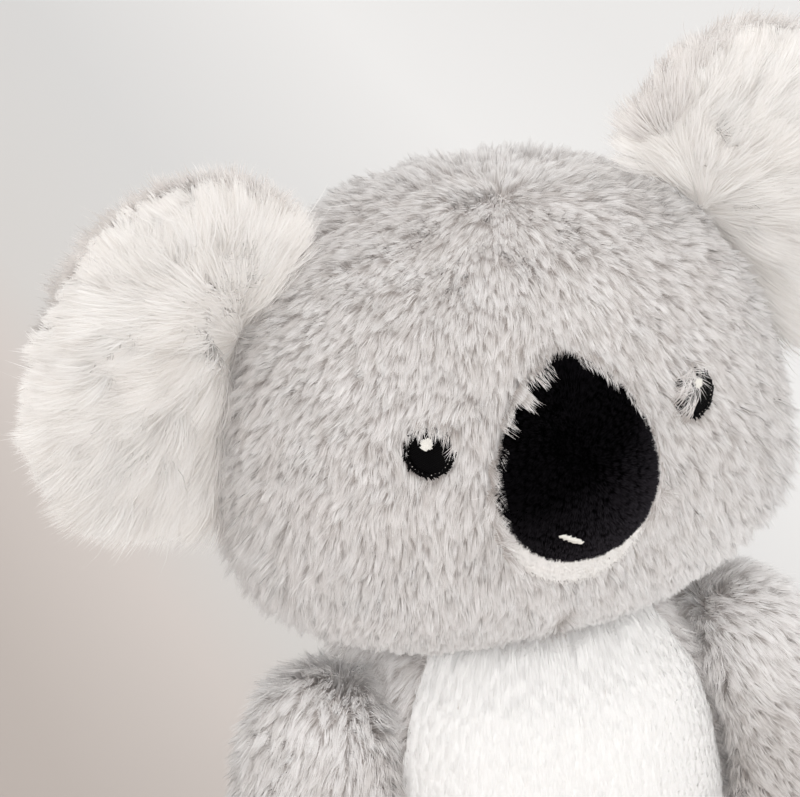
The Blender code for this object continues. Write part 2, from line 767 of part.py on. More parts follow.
def leg_cap(along, inset, angles, rings):
    """Rings that close the leg's stuffing against the torso or the sole."""
    rows = []
    for fill in np.linspace(0.0, 1.0, rings, endpoint=False):
        row = []
        for angle in angles:
            place = leg_start(angle, inset, fill) if along is None else along
            row.append(leg_point(place, angle, inset, fill))
        rows.append(row)
    return rows


def make_legs(grey, white, stuffing, carriers):
    """Top and under panel, sole and stuffing of each leg."""
    half_turn = math.pi
    way = np.array((math.sin(LEG_SPLAY), -math.cos(LEG_SPLAY), 0.0))
    panels = (("top", 0.0, half_turn), ("under", half_turn, 2 * half_turn))
    angles = np.linspace(0.0, 2 * half_turn, 2 * LIMB_STEPS, endpoint=False)
    core_inset = PILE + STUFFING_GAP
    core = [*leg_cap(None, core_inset, angles, CAP_RINGS)]
    core += list(leg_grid(core_inset, 0.0, 2 * half_turn, 2 * LIMB_STEPS)[:, :-1])
    core += leg_cap(1.0, core_inset, angles, CAP_RINGS)[::-1]
    sole = []
    for rise, edge in ((SEAM_GAP, 0.0), (SEAM_GAP + SOLE_CLOTH, SOLE_CLOTH / 2)):
        rows = []
        for fill in np.linspace(0.0, 1.0, BUTTON_RINGS):
            row = [leg_point(1.0, angle, edge, fill) + rise * way for angle in angles]
            rows.append(row)
        sole.append(np.array(rows))
    for side, sign in (("left", 1.0), ("right", -1.0)):
        flip = np.array((sign, 1.0, 1.0))
        carrier = carriers[side]
        for label, start, end in panels:
            half_gap = SEAM_GAP / 2 / THIGH_RADIUS
            outer = leg_grid(0.0, start + half_gap, end - half_gap, LIMB_STEPS) * flip
            inner = leg_grid(PILE, start + half_gap, end - half_gap, LIMB_STEPS) * flip
            piece("leg_" + side + "_" + label + "_panel", shell(outer, inner), grey, carrier)
        faces = quads(np.array(core) * flip, wrap=True)
        piece("leg_" + side + "_stuffing", faces, stuffing, carrier)
        faces = shell(*(face * flip for face in sole), wrap=True)
        piece("leg_" + side + "_sole", faces, white, carrier)


def hip_place():
    """Middle of the left hip crease, where the thigh's top meets the torso."""
    top = leg_point(leg_start(math.pi / 2, 0.0, 1.0), math.pi / 2, 0.0, 1.0)
    return top + np.array((0.0, 0.0, HIP_CREASE_GAP))


def shoulder_place():
    """Middle of the left shoulder crease, at the top of the arm's pressed side."""
    top, _ = arm_centre(0.0)
    height = TORSO_HEIGHT - ARM_TOP_BELOW_NECK
    return np.array((torso_side(top[1], height, PRESS_GAP), top[1], height))


def main():
    """Builds the toy in an emptied scene."""
    for old in list(bpy.data.objects):
        bpy.data.objects.remove(old, do_unlink=True)

    grey = cloth("grey_long_pile", (0.60, 0.56, 0.54), 0.95)
    white = cloth("white_short_pile", (0.88, 0.87, 0.85), 0.95)
    white_long = cloth("white_long_pile", (0.86, 0.84, 0.82), 0.95)
    off_white = cloth("off_white_velour", (0.80, 0.79, 0.76), 0.9)
    black = cloth("black_velour", (0.008, 0.007, 0.008), 0.9)
    thread = cloth("black_thread", (0.006, 0.006, 0.006), 0.5)
    glint = cloth("white_thread", (0.85, 0.84, 0.80), 0.5)
    stuffing = cloth("polyester_stuffing", (0.90, 0.90, 0.90), 1.0)
    pellets = cloth("pellet_bag_cloth", (0.75, 0.74, 0.70), 0.9)

    make_torso(grey, white, stuffing, pellets)
    head = joint("neck_axis", NECK)
    make_head(grey, stuffing, head)
    make_face(black, thread, glint, off_white, stuffing, head)

    axes = {"ear": {}, "shoulder": {}, "hip": {}}
    for side, sign in (("left", 1.0), ("right", -1.0)):
        places = (ear_base(sign)[0] + HEAD_CENTRE, shoulder_place(), hip_place())
        for name, place in zip(axes, places):
            here = place * np.array((sign, 1.0, 1.0))
            axes[name][side] = joint(name + "_axis_" + side, here)
    make_ears(white_long, grey, axes["ear"])
    make_arms(grey, stuffing, axes["shoulder"])
    make_legs(grey, white, stuffing, axes["hip"])


main()
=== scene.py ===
import itertools
import json
import math

import bpy
import numpy as np
from mathutils import Matrix, Vector
from mathutils.bvhtree import BVHTree


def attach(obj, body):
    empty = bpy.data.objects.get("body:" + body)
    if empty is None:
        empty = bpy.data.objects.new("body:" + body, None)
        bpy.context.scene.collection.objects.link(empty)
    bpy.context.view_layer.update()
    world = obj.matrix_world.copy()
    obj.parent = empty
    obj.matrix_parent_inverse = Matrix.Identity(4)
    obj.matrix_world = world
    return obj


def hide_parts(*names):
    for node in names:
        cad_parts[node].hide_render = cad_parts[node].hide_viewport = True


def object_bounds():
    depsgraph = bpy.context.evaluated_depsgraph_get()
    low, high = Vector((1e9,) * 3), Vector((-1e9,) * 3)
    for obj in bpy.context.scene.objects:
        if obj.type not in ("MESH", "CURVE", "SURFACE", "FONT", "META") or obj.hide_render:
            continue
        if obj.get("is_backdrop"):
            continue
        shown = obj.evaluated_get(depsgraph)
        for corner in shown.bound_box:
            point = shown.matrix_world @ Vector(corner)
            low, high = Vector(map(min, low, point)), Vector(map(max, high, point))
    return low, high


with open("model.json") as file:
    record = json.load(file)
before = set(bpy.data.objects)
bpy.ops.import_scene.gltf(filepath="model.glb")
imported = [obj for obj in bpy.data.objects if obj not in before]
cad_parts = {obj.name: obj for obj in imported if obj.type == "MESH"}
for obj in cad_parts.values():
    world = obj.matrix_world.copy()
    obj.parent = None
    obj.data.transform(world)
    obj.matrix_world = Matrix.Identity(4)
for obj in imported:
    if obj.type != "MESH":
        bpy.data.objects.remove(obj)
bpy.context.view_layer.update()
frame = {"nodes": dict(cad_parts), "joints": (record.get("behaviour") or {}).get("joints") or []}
nodes = frame["nodes"]


# Camera: a long lens looks down on the toy's right cheek from close by, so that the
# head fills the picture and the body runs out of it.
HEAD_CENTRE = np.array((0.0, 0.0289, 0.1773))
CAMERA_AZIMUTH = math.radians(-17.5)
CAMERA_HEIGHT_ANGLE = math.radians(26.0)
CAMERA_ROLL = math.radians(-4.6)
CAMERA_DISTANCE = 0.9
PICTURE_WIDTH = 0.200
HEAD_RIGHT_OF_MIDDLE = 0.0235
HEAD_BELOW_MIDDLE = 0.0029

sin_a, cos_a = math.sin(CAMERA_AZIMUTH), math.cos(CAMERA_AZIMUTH)
sin_e, cos_e = math.sin(CAMERA_HEIGHT_ANGLE), math.cos(CAMERA_HEIGHT_ANGLE)
level = np.array((cos_a, sin_a, 0.0))
upward = np.array((-sin_a * sin_e, cos_a * sin_e, cos_e))
towards = np.array((sin_a * cos_e, -cos_a * cos_e, sin_e))
right = math.cos(CAMERA_ROLL) * level + math.sin(CAMERA_ROLL) * upward
over = math.cos(CAMERA_ROLL) * upward - math.sin(CAMERA_ROLL) * level
eye_place = HEAD_CENTRE + towards * CAMERA_DISTANCE
eye_place = eye_place - right * HEAD_RIGHT_OF_MIDDLE + over * HEAD_BELOW_MIDDLE
lens = bpy.data.cameras.new("camera")
lens.sensor_width = 36.0
lens.lens = CAMERA_DISTANCE / PICTURE_WIDTH * 36.0
camera = bpy.data.objects.new("camera", lens)
turn = np.eye(4)
turn[:3, 0], turn[:3, 1], turn[:3, 2], turn[:3, 3] = right, over, towards, eye_place
camera.matrix_world = Matrix(turn.tolist())
bpy.context.scene.collection.objects.link(camera)
bpy.context.scene.camera = camera


# Filled shapes: polyester fibre fills the head and limbs, and a bag of pellets weighs
# the seat. The knitted backing of the pile is drawn tight over them.
BACKING_RISE = 0.0034


def linear(code):
    """Linear colour of an sRGB hex code."""
    shades = [int(code[i:i + 2], 16) / 255 for i in (0, 2, 4)]
    return [s / 12.92 if s <= 0.04045 else ((s + 0.055) / 1.055) ** 2.4 for s in shades]


def add(tree, kind, settings=(), **links):
    """Adds a node to a material, sets its values by name and links its inputs."""
    node = tree.nodes.new(kind)
    for name, value in dict(settings).items():
        if name in node.inputs:
            node.inputs[name].default_value = value
        else:
            setattr(node, name, value)
    for name, source in links.items():
        tree.links.new(source, node.inputs[name.replace("_", " ")])
    return node


def knitted_backing(name, colour, shade=0.7, sheen=0.2, shine=0.3):
    """Knit that the fibres are rooted in: fine loops in rows, 0.8 mm apart, so that
    what shows between tufts is cloth in shade and no bare shell."""
    made = bpy.data.materials.new(name)
    made.use_nodes = True
    tree = made.node_tree
    shader = tree.nodes["Principled BSDF"]
    shader.inputs["Roughness"].default_value = 0.95
    shader.inputs["Sheen Weight"].default_value = sheen
    shader.inputs["Specular IOR Level"].default_value = shine
    place = add(tree, "ShaderNodeTexCoord").outputs["Object"]
    loops = add(tree, "ShaderNodeTexVoronoi", {"Scale": 1250.0}, Vector=place)
    dark = [c * shade for c in linear(colour)]
    tone = add(tree, "ShaderNodeMix", {"data_type": "RGBA"})
    tone.inputs[6].default_value = (*dark, 1.0)
    tone.inputs[7].default_value = (*linear(colour), 1.0)
    tree.links.new(loops.outputs["Distance"], tone.inputs[0])
    tree.links.new(tone.outputs[2], shader.inputs["Base Color"])
    return made


def skin_of(node):
    """Corners, triangles and smooth normals of a CAD solid, with its corners welded."""
    mesh = nodes[node].data
    mesh.calc_loop_triangles()
    corners = np.empty(len(mesh.vertices) * 3)
    mesh.vertices.foreach_get("co", corners)
    triangles = np.empty(len(mesh.loop_triangles) * 3, dtype=np.int32)
    mesh.loop_triangles.foreach_get("vertices", triangles)
    places, back = np.unique(np.round(corners.reshape(-1, 3), 6), axis=0, return_inverse=True)
    triangles = back.reshape(-1)[triangles].reshape(-1, 3)
    whole = (triangles != np.roll(triangles, 1, axis=1)).all(axis=1)
    return places, triangles[whole]


def smooth_normals(places, triangles):
    """Normals at the corners of some triangles, each as large as its triangles say."""
    a, b, c = (places[triangles[:, k]] for k in range(3))
    faces = np.cross(b - a, c - a)
    normals = np.zeros_like(places)
    for k in range(3):
        np.add.at(normals, triangles[:, k], faces)
    return unit(normals)


def unit(rows):
    """Rows of vectors, each made one long."""
    return rows / np.maximum(np.linalg.norm(rows, axis=-1, keepdims=True), 1e-12)


def mesh_piece(name, body, places, faces, material, smooth=True):
    """Piece of a body from places and faces."""
    mesh = bpy.data.meshes.new(name)
    mesh.from_pydata(np.asarray(places).tolist(), [], [tuple(int(i) for i in f) for f in faces])
    mesh.materials.append(material)
    if smooth:
        mesh.shade_smooth()
    made = bpy.data.objects.new(name, mesh)
    bpy.context.scene.collection.objects.link(made)
    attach(made, body)
    return made


def filled_shape(name, body, node, material):
    """Shape of the stuffing with its backing drawn over it, rounded between facets."""
    places, triangles = skin_of(node)
    places = places + smooth_normals(places, triangles) * BACKING_RISE
    made = mesh_piece(name, body, places, triangles, material)
    rounder = made.modifiers.new("rounder", "SUBSURF")
    rounder.levels = rounder.render_levels = 1
    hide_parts(node)
    return made


grey_backing = knitted_backing("grey knitted polyester backing", "efeae7")
filled_shape("torso_filled_shape", "torso", "torso_stuffing", grey_backing)
filled_shape("pellet_filled_shape", "torso", "pellet_bag", grey_backing)
filled_shape("head_filled_shape", "head", "head_stuffing", grey_backing)
for side in ("left", "right"):
    for limb in ("arm", "leg"):
        body = limb + "_" + side
        filled_shape(body + "_filled_shape", body, body + "_stuffing", grey_backing)


# Grey pile of the head: five panels of brushed polyester pile, cut with the nap running
# from the crown down and sewn right sides together, so that the fibres hide the seams.
CROWN = np.array((0.0015, 0.0194, 0.2413))
WHORL_RADIUS = 0.004
PARTED_RADIUS = 0.050


def fibre(name, shaded_root, tip, dark, light, gloss=0.75, sheen=0.35, shine=0.25):
    """Spun polyester fibre: darker where it leaves the cloth, which is painted shade
    for the shade deep in the pile, paler at the tip, each fibre of its own shade, with a
    soft sheen along its flanks."""
    made = bpy.data.materials.new(name)
    made.use_nodes = True
    tree = made.node_tree
    shader = tree.nodes["Principled BSDF"]
    shader.inputs["Roughness"].default_value = gloss
    shader.inputs["Sheen Weight"].default_value = sheen
    shader.inputs["Sheen Roughness"].default_value = 0.5
    shader.inputs["Specular IOR Level"].default_value = shine
    place = add(tree, "ShaderNodeUVMap", {"uv_map": "OFBake"}).outputs["UV"]
    parts = add(tree, "ShaderNodeSeparateXYZ", Vector=place)
    along = add(tree, "ShaderNodeValToRGB", Fac=parts.outputs["Y"])
    shade = add(tree, "ShaderNodeValToRGB", Fac=parts.outputs["X"])
    # The ramp along each strand paints shade at its root.
    for ramp, first, last in ((along, shaded_root, tip), (shade, dark, light)):
        ramp.color_ramp.elements[0].color = (*linear(first), 1.0)
        ramp.color_ramp.elements[1].color = (*linear(last), 1.0)
    along.color_ramp.elements[1].position = 0.65
    both = add(tree, "ShaderNodeMix", {"data_type": "RGBA", "blend_type": "MULTIPLY"})
    both.inputs[0].default_value = 1.0
    tree.links.new(along.outputs["Color"], both.inputs[6])
    tree.links.new(shade.outputs["Color"], both.inputs[7])
    tree.links.new(both.outputs[2], shader.inputs["Base Color"])
    return made


def outside_of(node, core, depth=0.0008):
    """Places, triangles and normals of the outside of a panel: the triangles that face
    away from what fills it."""
    places, triangles = skin_of(node)
    shapes = [skin_of(name) for name in core]
    trees = [BVHTree.FromPolygons(p.tolist(), t.tolist()) for p, t in shapes]
    a, b, c = (places[triangles[:, k]] for k in range(3))
    flat = unit(np.cross(b - a, c - a))
    middles = (a + b + c) / 3
    keep = []
    for middle, normal in zip(middles, flat):
        near = min((tree.find_nearest(Vector(middle)) for tree in trees), key=lambda n: n[3])
        away = middle - np.array(near[0])
        keep.append(near[3] > depth and away @ normal > 0.5 * near[3])
    triangles = triangles[np.array(keep)]
    used, triangles = np.unique(triangles, return_inverse=True)
    places, triangles = places[used], triangles.reshape(-1, 3)
    return places, triangles, smooth_normals(places, triangles)


def roots_on(surface, per_mm2, rng):
    """Even scatter of places and normals on a surface, rounded out between facets."""
    places, triangles, normals = surface
    a, b, c = (places[triangles[:, k]] for k in range(3))
    areas = np.linalg.norm(np.cross(b - a, c - a), axis=1) / 2
    total = areas.sum()
    count = int(total * 1e6 * per_mm2)
    picks = (np.arange(count) + rng.random(count)) / count * total
    chosen = np.searchsorted(np.cumsum(areas), picks).clip(max=len(areas) - 1)
    u, v = rng.random((2, count))
    over_edge = u + v > 1
    u[over_edge], v[over_edge] = 1 - u[over_edge], 1 - v[over_edge]
    shares = np.stack((1 - u - v, u, v), axis=1)
    corner, normal = places[triangles[chosen]], normals[triangles[chosen]]
    spots = np.einsum("nk,nkd->nd", shares, corner)
    off = np.einsum("nkd,nkd->nk", spots[:, None] - corner, normal)
    rise = np.einsum("nk,nk,nkd->nd", shares, off, normal)
    return spots - 0.75 * rise, unit(np.einsum("nk,nkd->nd", shares, normal))


def open_edges(triangles):
    """Edges of some triangles that belong to one of them alone."""
    edges = np.concatenate([triangles[:, (0, 1)], triangles[:, (1, 2)], triangles[:, (2, 0)]])
    edges, counts = np.unique(np.sort(edges, axis=1), axis=0, return_counts=True)
    return edges[counts == 1]


def seam_distance(spots, surface, counted):
    """Distance from each spot to the nearest edge of its panel whose middle counts."""
    places, triangles = surface[:2]
    nearest = np.full(len(spots), np.inf)
    for first, second in open_edges(triangles):
        line = places[second] - places[first]
        if not counted(places[first] + line / 2):
            continue
        share = ((spots - places[first]) @ line / (line @ line)).clip(0, 1)
        gap = spots - places[first] - share[:, None] * line
        nearest = np.minimum(nearest, np.linalg.norm(gap, axis=1))
    return nearest


def drift(spots, size, seed):
    """Smooth random vectors over space that change within about one size."""
    rng = np.random.default_rng(seed)
    waves = unit(rng.normal(size=(9, 3))) * rng.uniform(0.6, 1.6, (9, 1)) / size
    swings = rng.normal(size=(9, 3)) / 3
    return np.sin(2 * math.pi * (spots @ waves.T + rng.random(9))) @ swings


def tuft_of(spots, size, seed):
    """Number of the tuft that each spot belongs to: the nearest of scattered centres."""
    cells = np.floor(spots / size).astype(np.int64)
    best = np.full(len(spots), np.inf)
    owner = np.zeros(len(spots), dtype=np.int64)
    for shift in itertools.product((-1, 0, 1), repeat=3):
        near = cells + shift
        key = near @ np.array((73856093, 19349663, 83492791)) + seed * 7919
        centre = near.astype(float)
        for axis in range(3):
            key = (key * 6364136223846793005 + 1442695040888963407) & 0x7FFFFFFFFFFFFFFF
            centre[:, axis] += (key >> 20 & 0xFFFFF) / 0xFFFFF
        gap = ((spots - centre * size) ** 2).sum(axis=1)
        closer = gap < best
        best[closer], owner[closer] = gap[closer], key[closer]
    return np.unique(owner, return_inverse=True)[1].reshape(-1)


def tuft_mean(values, tuft):
    """Mean over each tuft of one row of values per strand, given back to each strand."""
    counts = np.bincount(tuft)
    sums = np.stack([np.bincount(tuft, values[:, k]) for k in range(values.shape[1])], axis=1)
    return (sums / counts[:, None])[tuft]


def strands(name, body, lines, normals, width, material, rng, roll=0.7, tint=None):
    """Piece of tapering strands along lines: an array of strands by points by xyz. A
    fibre is round and finer than it can be drawn, so it is lit as its tuft is, and as
    soft fibres let light through, a strand casts no shadow from a lamp."""
    count, points = lines.shape[:2]
    ways = unit(np.gradient(lines, axis=1))
    flank = unit(np.cross(ways, normals[:, None]))
    face = np.cross(flank, ways)
    angle = rng.uniform(-roll, roll, (count, 1, 1))
    flank = flank * np.cos(angle) + face * np.sin(angle)
    share = np.linspace(0, 1, points)
    half = width / 2 * (1 - share**2.2)[None, :, None] * rng.uniform(0.7, 1.3, (count, 1, 1))
    half = np.maximum(half, width * 0.02)
    sides = np.stack((lines - flank * half, lines + flank * half), axis=2)
    places = np.concatenate((sides[:, :-1].reshape(count, -1, 3), lines[:, -1:]), axis=1)
    corners = places.shape[1]
    loop, tones, sizes = [], [], []
    for k in range(points - 2):
        loop += [2 * k, 2 * k + 1, 2 * k + 3, 2 * k + 2]
        tones += [(-1, share[k]), (1, share[k]), (1, share[k + 1]), (-1, share[k + 1])]
        sizes.append(4)
    loop += [corners - 3, corners - 2, corners - 1]
    tones += [(-1, share[-2]), (1, share[-2]), (0, share[-1])]
    sizes.append(3)
    loops = (np.arange(count)[:, None] * corners + np.array(loop)).reshape(-1)
    starts = np.cumsum([0, *sizes])[:-1]
    starts = (np.arange(count)[:, None] * sum(sizes) + starts).reshape(-1)
    tint = rng.uniform(0.02, 0.98, (count, 1)) if tint is None else tint[:, None]
    tones = np.array(tones)
    across = tint + tones[:, 0] * 0.001
    along = np.broadcast_to(0.01 + 0.98 * tones[:, 1], across.shape)
    mesh = bpy.data.meshes.new(name)
    mesh.vertices.add(count * corners)
    mesh.vertices.foreach_set("co", places.reshape(-1).astype(np.float32))
    mesh.loops.add(len(loops))
    mesh.loops.foreach_set("vertex_index", loops.astype(np.int32))
    mesh.polygons.add(len(starts))
    mesh.polygons.foreach_set("loop_start", starts.astype(np.int32))
    mesh.update(calc_edges=True)
    lit = mesh.attributes.new("custom_normal", "FLOAT_VECTOR", "POINT")
    turned = np.repeat(normals, corners, axis=0).reshape(-1)
    lit.data.foreach_set("vector", turned.astype(np.float32))
    layer = mesh.uv_layers.new(name="OFBake")
    chart = np.stack((across, along), axis=2).reshape(-1)
    layer.uv.foreach_set("vector", chart.astype(np.float32))
    mesh.materials.append(material)
    mesh.shade_smooth()
    made = bpy.data.objects.new(name, mesh)
    made.visible_shadow = False
    bpy.context.scene.collection.objects.link(made)
    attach(made, body)
    return made


def rounded(spots, normals, tuft_size, seed, bulge=0.4):
    """Normals that turn away from the middle of each tuft, as on a soft brush tip."""
    tuft = tuft_of(spots, tuft_size, seed)
    return unit(normals + (spots - tuft_mean(spots, tuft)) / tuft_size * 2 * bulge)


def brushed(spots, normals, nap, length, lifts, tuft_size, pull, seed, steps=3, stray=0.35,
            wild=1.0):
    """Lines of a brushed pile: each strand leaves the cloth at the first lift and lies
    down towards the second, along the nap, and leans into its tuft. Wild tufts part."""
    rng = np.random.default_rng(seed)
    count = len(spots)
    tuft = tuft_of(spots, tuft_size, seed)
    per_tuft = rng.normal(size=(tuft.max() + 1, 5))[tuft]
    sway = drift(spots, 0.022, seed + 1)
    flat = nap - np.einsum("nd,nd->n", nap, normals)[:, None] * normals
    upright = 1 - np.linalg.norm(flat, axis=1).clip(0, 3)
    way = flat + wild * (0.22 * sway + 0.20 * per_tuft[:, :3])
    way = way + stray * 0.6 * rng.normal(size=(count, 3))
    way = unit(way - np.einsum("nd,nd->n", way, normals)[:, None] * normals)
    lift = 0.16 * wild * (per_tuft[:, 3] + drift(spots, 0.013, seed + 2)[:, 0]) + 0.35 * upright
    lift = lift + stray * 0.5 * rng.normal(size=count)
    reach = 1 + 0.10 * wild * per_tuft[:, 4] + 0.14 * rng.normal(size=count)
    reach = length * reach.clip(0.45, 1.45)
    lines = [spots]
    for k in range(steps):
        share = k / max(steps - 1, 1)
        angle = (lifts[0] * (1 - share) + lifts[1] * share + lift).clip(0.03, 1.5)
        step = np.cos(angle)[:, None] * way + np.sin(angle)[:, None] * normals
        lines.append(lines[-1] + step * (reach / steps)[:, None])
    lines = np.stack(lines, axis=1)
    leaned = tuft_mean(lines.reshape(count, -1), tuft).reshape(lines.shape)
    share = np.linspace(0, 1, steps + 1)[None, :, None] ** 1.4
    hold = pull * rng.uniform(0.5, 1.0, (count, 1, 1))
    return lines + (leaned - lines) * share * hold


def covered(spots, normals, covers, reach=0.016):
    """True for the spots that a face piece lies over."""
    hidden = np.zeros(len(spots), dtype=bool)
    for node in covers:
        places, triangles = skin_of(node)
        tree = BVHTree.FromPolygons(places.tolist(), triangles.tolist())
        close = ((spots > places.min(axis=0) - reach) & (spots < places.max(axis=0) + reach))
        for k in np.flatnonzero(close.all(axis=1) & ~hidden):
            start = Vector(spots[k] - normals[k] * 0.002)
            hidden[k] = tree.ray_cast(start, Vector(normals[k]), reach)[0] is not None
    return hidden


def chin_seam(spots, width):
    """How near each spot is to the seam that runs down from the muzzle, from 0 to 1."""
    low_front = (spots[:, 2] < 0.146) & (spots[:, 1] < 0.01)
    return low_front * np.exp(-((spots[:, 0] / width) ** 2))


def head_nap(spots):
    """Nap of the head: away from the crown, and down the cheeks."""
    away = spots - CROWN
    far = np.linalg.norm(away, axis=1, keepdims=True)
    flat = 1.15 + 1.5 * np.exp(-((far / PARTED_RADIUS) ** 2))
    flat = flat + np.interp(spots[:, 2], (0.128, 0.142), (1.2, 0.0))[:, None]
    aside = np.sign(spots[:, 0]) * chin_seam(spots, 0.0070)
    down = np.stack((aside, 0 * aside, np.full(len(spots), -0.6)), axis=1)
    return away / np.maximum(far, WHORL_RADIUS) * flat + down


def head_growth(spots):
    """The pile is clipped shorter under the chin and left longer low on the cheeks."""
    chin = np.interp(spots[:, 2], (0.110, 0.118, 0.134, 0.150), (0.8, 0.45, 0.50, 1.0))
    jowl = np.interp(np.abs(spots[:, 0]), (0.050, 0.068), (0.0, 0.5))
    return chin + jowl * np.interp(spots[:, 2], (0.130, 0.142, 0.165, 0.190), (0, 1, 1, 0))


def tuft_tone_and_shade(spots, rng, size=0.0026, seed=5):
    """Tints that tufts have in common: partly the fibres' own uneven tone, partly painted shade
    between the tufts.
    """
    shared = rng.beta(1.6, 1.0, 200000)[tuft_of(spots, size, seed)]
    return (0.6 * shared + 0.4 * rng.random(len(spots))).clip(0.02, 0.98)


def pile_on(node, core, body, nap, seed, style, material, covers=(), growth=None,
            tint=tuft_tone_and_shade, outline=None):
    """Pile of one panel. The style holds the pile's length, the depth of its roots,
    strands per mm2, width, lifts, tuft, pull, steps and how far strands stray. Growth
    and tint give the share of the length and the tint at each spot, and an outline
    moves the spots."""
    rng = np.random.default_rng(seed)
    surface = outside_of(node, core)
    spots, normals = roots_on(surface, style["per_mm2"], rng)
    if outline:
        spots = outline(spots, surface)
    if covers:
        open_air = ~covered(spots, normals, covers)
        spots, normals = spots[open_air], normals[open_air]
    length = style["length"] * (growth(spots) if growth else 1.0)
    lines = brushed(spots - normals * style["depth"], normals, nap(spots), length,
                    style["lifts"], style["tuft"], style["pull"], seed % 7, style["steps"],
                    style["stray"], style["wild"])
    lines[:, :, 2] = np.maximum(lines[:, :, 2], 0.0005)
    name = node.replace("panel", "pile") if "panel" in node else node + "_pile"
    lit = rounded(spots - normals * style["depth"], normals, style["tuft"], seed % 7)
    pile = strands(name, body, lines, lit, style["width"], material, rng,
                   tint=tint(spots, rng))
    return pile


def head_tint_with_painted_light(spots, rng):
    """Tints of the tufts, paler under the chin as painted light against the shade there, and
    browner along the chin seam as painted shade in its parting.
    """
    painted_light_shift = np.interp(spots[:, 2], (0.132, 0.172), (0.45, 0.0))
    return (tuft_tone_and_shade(spots, rng) + painted_light_shift - 0.8 * chin_seam(spots, 0.0017)).clip(0.02, 0.98)


# Its brown-grey root colour is painted shade deep in the pile.
grey_fibre = fibre("grey brushed polyester fibre", "b6ada8", "edebea", "d9d5d2", "ffffff")
HEAD_PILE = {"length": 0.0054, "depth": 0.0036, "per_mm2": 10.0, "width": 0.00016,
             "lifts": (1.25, 0.65), "tuft": 0.0018, "pull": 0.55, "steps": 2, "stray": 0.25,
             "wild": 1.4}
NAPE_PILE = {**HEAD_PILE, "per_mm2": 7.0, "width": 0.00020}
head_panels = ("cheek_panel_left", "cheek_panel_right", "head_back_panel_left",
               "head_back_panel_right", "forehead_gusset")
face_covers = ("muzzle_panel", "eye_left", "eye_right", "nose_cover")
for number, node in enumerate(head_panels):
    covers, style = ((), NAPE_PILE) if "back" in node else (face_covers, HEAD_PILE)
    pile = pile_on(node, ["head_stuffing"], "head", head_nap, 100 + number, style,
                   grey_fibre, covers, head_growth, head_tint_with_painted_light)
    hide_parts(node)


# Torso: a belly of short white pile, sewn down both sides to a back of the same long
# grey pile as the head, over a flat seat whose pile is pressed flat.
BELLY_PILE = {"length": 0.0036, "depth": 0.0022, "per_mm2": 10.0, "width": 0.00021,
              "lifts": (0.9, 0.35), "tuft": 0.0030, "pull": 0.08, "steps": 2, "stray": 0.15,
              "wild": 0.3}
BODY_PILE = {"length": 0.0056, "depth": 0.0036, "per_mm2": 6.5, "width": 0.00021,
             "lifts": (1.25, 0.6), "tuft": 0.0020, "pull": 0.55, "steps": 2, "stray": 0.25,
             "wild": 1.2}
torso_core = ["torso_stuffing", "pellet_bag"]


def drawn_in(name, body, node, core, depth, material):
    """Cloth of one panel: its outside drawn in to the roots of its pile."""
    places, triangles, normals = outside_of(node, core)
    made = mesh_piece(name, body, places - normals * depth, triangles, material)
    rounder = made.modifiers.new("rounder", "SUBSURF")
    rounder.boundary_smooth = "PRESERVE_CORNERS"
    rounder.levels = rounder.render_levels = 1
    return made


def hanging_nap(spots):
    """Nap that runs straight down."""
    return np.broadcast_to(np.array((0.0, -0.15, -1.0)), spots.shape)


def belly_nap(spots):
    """Nap that runs up to the chin, so that no bare edge shows under it."""
    return np.broadcast_to(np.array((0.0, -0.3, 2.0)), spots.shape)


def belly_growth(spots):
    """The pile is longest along the neck seam, which it fills."""
    top = spots[:, 2].max()
    return 1.0 + 1.3 * np.interp(spots[:, 2], (top - 0.010, top - 0.002), (0.0, 1.0))


white_backing = knitted_backing("white knitted polyester backing", "f8f6f4", 0.92)
white_fibre = fibre("white brushed polyester fibre", "f1f0ef", "f1f0ef", "fafafa", "ffffff")
belly_cloth = drawn_in("belly_cloth", "torso", "belly_panel", torso_core, 0.0026, white_backing)
belly = pile_on("belly_panel", torso_core, "torso", belly_nap, 201, BELLY_PILE, white_fibre,
                (), belly_growth)
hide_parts("belly_panel")


def shoulder_growth(spots):
    """The pile is left longer at the shoulders, so that it fills the neck."""
    top = spots[:, 2].max()
    return 1.0 + 0.4 * np.interp(spots[:, 2], (top - 0.035, top - 0.012), (0.0, 1.0))


def shoulder_tint_with_painted_light(spots, rng):
    """Tints of the tufts, darker below, and paler at the shoulder as painted light where the head
    shades it.
    """
    top = spots[:, 2].max()
    painted_light_shift = np.interp(spots[:, 2], (top - 0.035, top - 0.008), (-0.35, 0.3))
    return (tuft_tone_and_shade(spots, rng) + painted_light_shift).clip(0.02, 0.98)


def back_nap(spots):
    """Nap that runs down the back, and outwards over the shoulders."""
    top = spots[:, 2].max()
    share = np.interp(spots[:, 2], (top - 0.045, top - 0.015), (0.0, 1.0))
    outwards = 1.6 * share * np.tanh(spots[:, 0] / 0.015)
    return np.stack((outwards, -0.15 - 0.6 * share, -1.0 - 0.5 * share), axis=1)


for number, side in enumerate(("left", "right")):
    node = "back_panel_" + side
    pile = pile_on(node, torso_core, "torso", back_nap, 210 + number, BODY_PILE,
                   grey_fibre, (), shoulder_growth, shoulder_tint_with_painted_light)
    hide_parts(node)
seat = drawn_in("seat_cloth", "torso", "seat_panel", torso_core, 0.0006, grey_backing)
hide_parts("seat_panel")


